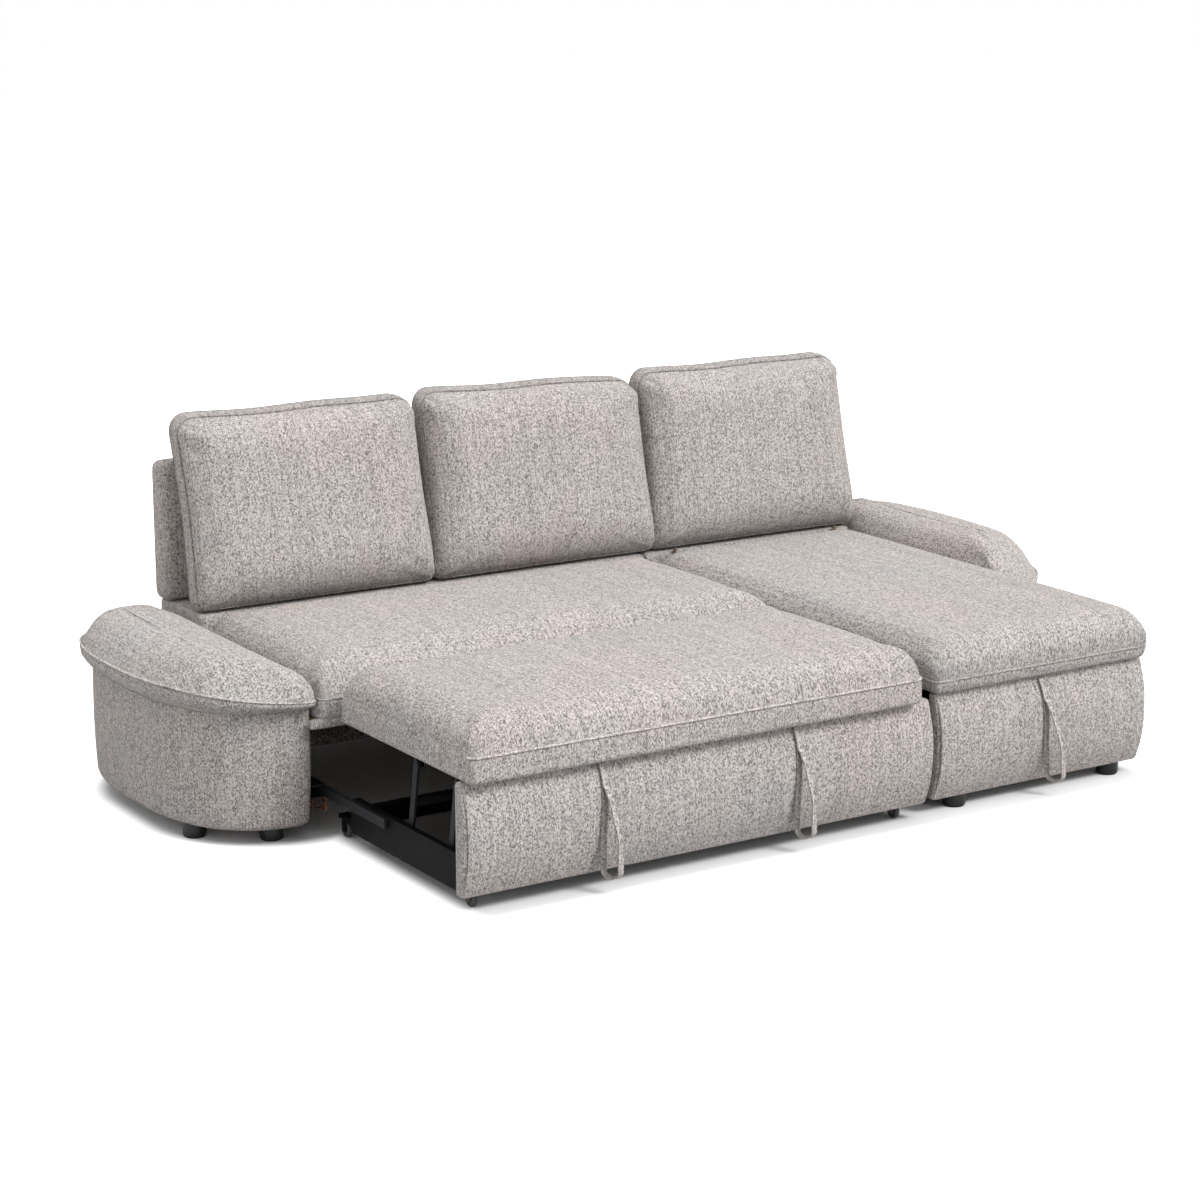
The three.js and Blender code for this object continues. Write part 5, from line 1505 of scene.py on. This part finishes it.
class SOFA_OT_straps(SofaOperator):
    """Makes the three pull straps"""

    bl_idname = "sofa.straps"
    bl_label = "Pull Straps"

    def make(self):
        """Each strap is a band of the same cloth, lightened outside as a painted highlight, and darkened
        inside its loop and along its edges as painted shade"""
        for name, panel, lean in (("left", "bed", 0.0), ("right", "bed", 0.0),
                                  ("chaise", "chaise", 0.02)):
            node = f"{name}_pull_strap"
            form = StrapForm(node, f"{panel}_front_panel", lean)
            points, faces, uvs = form.mesh()
            piece = new_piece(f"{name}_strap_band", points, faces, uvs,
                              chenille("chenille_painted_highlight"))
            piece.data.materials.append(chenille("chenille_dark_and_painted_shade"))
            # Painted shade: the band's edges and the face that looks into the loop take the darkest copy
            # of the cloth
            column = np.arange(len(faces)) % form.section_points
            dark = (column < 2) | (column > form.section_points // 2 - 4)
            piece.data.polygons.foreach_set("material_index", dark.astype(np.int32))
            dress(piece, f"{name}_strap", "upholstery", node)


class SOFA_OT_spring(SofaOperator):
    """Makes the buffer spring and its ringed hook"""

    bl_idname = "sofa.spring"
    bl_label = "Buffer Spring"

    wire = 0.003
    turns = 5
    turn_points = 24
    raised = 0.006
    hook_radius = 0.012
    hook_turn_shares = (0.25, 1.85)

    def make(self):
        """Helix along Y with a hook ring at its front"""
        low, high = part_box("buffer_spring")
        x, z = (low.x + high.x) / 2, (low.z + high.z) / 2 + self.raised
        radius = (high.x - low.x - self.wire) / 2
        front = low.y + self.wire / 2 + 2 * self.hook_radius
        hook = np.linspace(*self.hook_turn_shares, self.turn_points) * math.pi
        ring = np.stack([np.full(len(hook), x),
                         front - self.hook_radius + self.hook_radius * np.cos(hook),
                         z + self.hook_radius * np.sin(hook)], -1)
        turn = np.linspace(0, 2 * math.pi * self.turns, self.turn_points * self.turns)
        start = front + self.wire * 2
        helix = np.stack([x + radius * np.sin(turn),
                          start + (high.y - self.wire / 2 - start) * turn / turn[-1],
                          z - radius * np.cos(turn)], -1)
        hook_part = tube(ring, self.wire / 2, across=(1, 0, 0), closed=False)
        coil_part = tube(helix, self.wire / 2, across=(0, 1, 0), closed=False)
        lead = tube(np.linspace(ring[-1], helix[0], 6), self.wire / 2, across=(1, 0, 0),
                    closed=False)
        piece = new_piece("spring_coil", *joined_parts([hook_part, lead, coil_part]),
                          finish_for("copper_steel"))
        dress(piece, "base", "copper_steel", "buffer_spring")


class SOFA_OT_casters(SofaOperator):
    """Makes the four caster wheels"""

    bl_idname = "sofa.casters"
    bl_label = "Caster Wheels"

    axle_hole = 0.0034
    hole_width_share = 0.7
    easing = 0.0012
    # From the hub to the middle of the tread: shares of the radius and of half the width
    tread_shares = ((0.3, 0.75), (0.34, 0.5), (0.62, 0.5), (0.68, 1.0), (0.84, 1.0), (1.0, 0.55),
                    (1.0, 0.3), (0.965, 0.22))

    def make(self):
        """Tread with a shallow groove, round a dished hub that is open at its axle"""
        for name in ("front_left", "front_right", "rear_left", "rear_right"):
            low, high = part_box(f"{name}_wheel")
            centre, (half, _, radius) = middle_and_half(low, high)
            one_side = [(self.axle_hole, half * self.hole_width_share)]
            one_side += [(radius * out, half * across) for out, across in self.tread_shares]
            corners = [(out, -across) for out, across in one_side] + one_side[::-1]
            rings = lathe(rounded_profile(corners, self.easing), centre, (1, 0, 0))
            piece = new_piece(f"{name}_caster_tread", *ring_mesh(rings, wrap_rows=True),
                              finish_for("wheel"))
            dress(piece, f"{name}_caster", "wheel", f"{name}_wheel")


class SOFA_OT_feet(SofaOperator):
    """Makes the nine round feet"""

    bl_idname = "sofa.feet"
    bl_label = "Feet"

    feet = ("left_arm_front", "left_arm_side", "left_arm_rear", "right_arm_side",
            "right_arm_rear", "chaise_front_left", "chaise_front_right", "bench_rear",
            "chaise_rear")
    tip_share = 0.96
    glide_share = 0.92
    pole_share = 0.3
    glide_height = 0.003
    rim_height = 0.0035
    top_band = 0.004
    easing = 0.0016

    def make(self):
        """Tapered turned foot with an eased rim and a glide under it"""
        for name in self.feet:
            low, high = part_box(f"{name}_foot")
            if "arm" in name:
                high.z += ArmForm.lifted
            centre = [(low.x + high.x) / 2, (low.y + high.y) / 2, 0.0]
            radius = (high.x - low.x) / 2
            tip = radius * self.tip_share
            glide = tip * self.glide_share
            corners = [(tip * self.pole_share, low.z), (glide, low.z),
                       (glide, low.z + self.glide_height), (tip, low.z + self.rim_height),
                       (radius, high.z - self.top_band), (radius, high.z),
                       (radius * self.pole_share, high.z)]
            rings = lathe(rounded_profile(corners, self.easing), centre, (0, 0, 1))
            piece = new_piece(f"{name}_foot_turned", *ring_mesh(rings),
                              finish_for("black_plastic"))
            dress(piece, "base", "black_plastic", f"{name}_foot")


class SOFA_OT_mechanism(SofaOperator):
    """Finishes the boards, guides, lift arms and struts that stay as they are"""

    bl_idname = "sofa.mechanism"
    bl_label = "Mechanism"

    finishes = {
        "black_board": ("middle_side_board", "chaise_left_side", "carriage_left_board",
                        "carriage_right_board", "carriage_rear_rail", "mattress_board"),
        "grey_board": ("chaise_floor", "chaise_rear_board", "carriage_floor"),
        "plywood": ("seat_deck", "lid_board"),
        "grey_steel": ("left_guide_bar", "right_guide_bar", "left_guide_rail",
                       "right_guide_rail", "front_left_lift_arm", "front_right_lift_arm",
                       "rear_left_lift_arm", "rear_right_lift_arm", "torsion_tube"),
        "black_plastic": ("left_strut_cylinder", "right_strut_cylinder"),
        "bright_steel": ("left_strut_rod", "right_strut_rod"),
    }
    board_easing = 0.0012
    steel_easing = 0.0006
    bolt_profile = ((0.0008, 0.0001), (0.0062, 0.0001), (0.0062, 0.0006), (0.0040, 0.0009),
                    (0.0008, 0.0009))
    bolt_easing = 0.0004

    def make(self):
        """Eases the edges and gives each its finish, then adds the pivots' bolt heads"""
        for slot_name, nodes in self.finishes.items():
            is_board = slot_name in ("black_board", "grey_board", "plywood")
            for node in nodes:
                finish_node(node, slot_name)
                ease_edges(frame["nodes"][node],
                           self.board_easing if is_board else self.steel_easing)
        ease_edges(frame["nodes"]["chaise_right_side"], self.board_easing)
        self.bolts()

    def bolts(self):
        """Domed bolt heads on the lift arms' pivots"""
        joints = {joint["name"]: joint for joint in frame["joints"]}
        lower = [joints[f"{row}_lift_swing"]["pos_m"] for row in ("front", "rear")]
        step = np.array(lower[1]) - np.array(lower[0])
        upper_front = np.array(joints["mattress_levelling"]["pos_m"])
        upper = [upper_front, upper_front + step]
        for row, low_pivot, high_pivot in (("front", lower[0], upper[0]),
                                           ("rear", lower[1], upper[1])):
            for side, outward in (("left", -1), ("right", 1)):
                low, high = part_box(f"{row}_{side}_lift_arm")
                outer = low.x if outward < 0 else high.x
                inner = high.x if outward < 0 else low.x
                self.bolt(f"{row}_{side}_lower_bolt", "bed_carriage", inner, -outward, low_pivot)
                self.bolt(f"{row}_{side}_upper_bolt", "mattress_platform", outer, outward,
                          high_pivot)

    def bolt(self, name, body, x, outward, pivot):
        """One bolt head that caps a pivot's end, a tenth of a millimetre off the arm"""
        profile = rounded_profile(self.bolt_profile, self.bolt_easing)
        rings = lathe(profile, (x, pivot[1], pivot[2]), (outward, 0, 0), turns=24)
        dress(new_piece(name, *ring_mesh(rings), finish_for("grey_steel")), body, "grey_steel")


def ease_edges(piece, width):
    """Welds a node's loose triangles and eases its sharp edges, by modifiers alone"""
    weld = piece.modifiers.new("weld", "WELD")
    weld.merge_threshold = 0.00002
    bevel = piece.modifiers.new("edges", "BEVEL")
    bevel.width = width
    bevel.segments = 2
    bevel.limit_method = "ANGLE"
    bevel.angle_limit = math.radians(40)


class SOFA_OT_stage(SofaOperator):
    """Makes the floor, the lights and the camera"""

    bl_idname = "sofa.stage"
    bl_label = "Stage"

    camera_place = (-3.889, -5.771, 2.091)
    camera_down = 13.33
    camera_turn = 32.75
    camera_lens = 84.46
    sky_light = 0.77
    floor_half = 30.0
    floor_bounce = 0.45
    floor_glow = 0.9
    glow_reach = 0.075
    # Each lamp's name, direction, strength and breadth in degrees
    lamps = (("key", (0.35, -0.65, 0.75), 2.0, 22.0), ("overhead", (0.05, 0.05, 1.0), 0.45, 70.0))
    # The arms' footprint and the panels': middle, half the two sides inside the rounding, and
    # the rounding
    footprints = (((0.0, 0.365), (0.995, 0.12), 0.28), ((0.034, 0.02), (0.954, 0.74), 0.01))

    def make(self):
        """Camera at the photograph's place, a pale floor, a sky of soft light and two lamps"""
        scene = bpy.context.scene
        scene.view_settings.view_transform = "Standard"
        self.camera(scene)
        self.floor()
        self.world(scene)
        for lamp in self.lamps:
            self.lamp(*lamp)

    def camera(self, scene):
        """A long lens before the sofa and to its left, looking a little down"""
        data = bpy.data.cameras.new("camera")
        data.lens = self.camera_lens
        data.sensor_width = 36.0
        data.clip_end = 100.0
        camera = bpy.data.objects.new("camera", data)
        camera.location = self.camera_place
        camera.rotation_euler = (math.radians(90 - self.camera_down), 0,
                                 math.radians(-self.camera_turn))
        scene.collection.objects.link(camera)
        scene.camera = camera

    def floor(self):
        """Broad pale plane. Its glow starts at the sofa's footprints and grows outward to the
        white of the backdrop, so that the shadow stays close. Its bounced light is dimmer."""
        material, tree, shader = new_material("floor")
        place = add_node(tree, "ShaderNodeTexCoord").outputs["Object"]
        apart = []
        for middle, half, rounding in self.footprints:
            way = place
            for operation, other in (("SUBTRACT", (*middle, 0)), ("ABSOLUTE", (0, 0, 0)),
                                     ("SUBTRACT", (*half, 1)), ("MAXIMUM", (0, 0, 0))):
                way = add_node(tree, "ShaderNodeVectorMath", {0: way, 1: other},
                               operation=operation).outputs[0]
            length_out = add_node(tree, "ShaderNodeVectorMath", {0: way}, operation="LENGTH")
            apart.append(maths(tree, "SUBTRACT", length_out.outputs["Value"], rounding))
        near = maths(tree, "MINIMUM", *apart)
        glow = add_node(tree, "ShaderNodeMapRange", {0: near, 1: 0.0, 2: self.glow_reach, 3: 0.0,
                                                     4: self.floor_glow},
                        interpolation_type="SMOOTHSTEP").outputs[0]
        seen = seen_directly(tree)
        pale = with_alpha(colours().floor)
        dim = with_alpha(colours().floor, self.floor_bounce)
        tree.links.new(mixed(tree, seen, dim, pale), shader.inputs["Base Color"])
        tree.links.new(maths(tree, "MULTIPLY", seen, glow), shader.inputs["Emission Strength"])
        shader.inputs["Emission Color"].default_value = (1.0, 1.0, 1.0, 1.0)
        shader.inputs["Roughness"].default_value = 0.9
        shader.inputs["Specular IOR Level"].default_value = 0.0
        uvs = [(0, 0), (1, 0), (1, 1), (0, 1)]
        corners = [((2 * u - 1) * self.floor_half, (2 * v - 1) * self.floor_half, 0)
                   for u, v in uvs]
        new_piece("floor", corners, [(0, 1, 2, 3)], uvs, material)

    def world(self, scene):
        """White where it is seen, and a soft pale light elsewhere"""
        world = bpy.data.worlds.new("sky")
        world.use_nodes = True
        tree = world.node_tree
        background = tree.nodes["Background"]
        seen = maths(tree, "MINIMUM", seen_directly(tree), 1.0)
        strength = maths(tree, "MULTIPLY_ADD", seen, 1.0 - self.sky_light, self.sky_light)
        tree.links.new(strength, background.inputs["Strength"])
        background.inputs["Color"].default_value = (1.0, 1.0, 1.0, 1.0)
        scene.world = world

    def lamp(self, name, towards, strength, spread):
        """Far soft lamp in a direction, as broad as its spread in degrees"""
        data = bpy.data.lights.new(name, "SUN")
        data.energy = strength
        data.angle = math.radians(spread)
        lamp = bpy.data.objects.new(name, data)
        lamp.location = Vector(towards) * 4
        lamp.rotation_euler = Vector(towards).to_track_quat("Z", "Y").to_euler()
        bpy.context.scene.collection.objects.link(lamp)


OPERATORS = (
    SOFA_OT_stage, SOFA_OT_seat, SOFA_OT_mattress, SOFA_OT_lid, SOFA_OT_back_cushions,
    SOFA_OT_arms, SOFA_OT_panels, SOFA_OT_boxes, SOFA_OT_straps, SOFA_OT_spring,
    SOFA_OT_casters, SOFA_OT_feet, SOFA_OT_mechanism,
)


class SOFA_PT_sidebar(bpy.types.Panel):
    """Lists the sofa's sizes, colours and makers"""

    bl_idname = "SOFA_PT_sidebar"
    bl_label = "Sleeper Sofa"
    bl_space_type = "VIEW_3D"
    bl_region_type = "UI"
    bl_category = "Sofa"

    def draw(self, context):
        """One row for each size, colour and operator"""
        layout = self.layout
        for group in (context.scene.sofa_sizes, context.scene.sofa_colours):
            for name in group.__annotations__:
                layout.prop(group, name)
        for operator in OPERATORS:
            layout.operator(operator.bl_idname)


CLASSES = (SofaSizes, SofaColours, *OPERATORS, SOFA_PT_sidebar)


def register():
    """Adds the add-on's classes and its settings"""
    for cls in CLASSES:
        bpy.utils.register_class(cls)
    bpy.types.Scene.sofa_sizes = PointerProperty(type=SofaSizes)
    bpy.types.Scene.sofa_colours = PointerProperty(type=SofaColours)


def unregister():
    """Takes them away again"""
    del bpy.types.Scene.sofa_colours
    del bpy.types.Scene.sofa_sizes
    for cls in reversed(CLASSES):
        bpy.utils.unregister_class(cls)


def main():
    """Registers the add-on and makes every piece"""
    register()
    for operator in OPERATORS:
        group, name = operator.bl_idname.split(".")
        getattr(getattr(bpy.ops, group), name)()


if __name__ == "__main__":
    main()
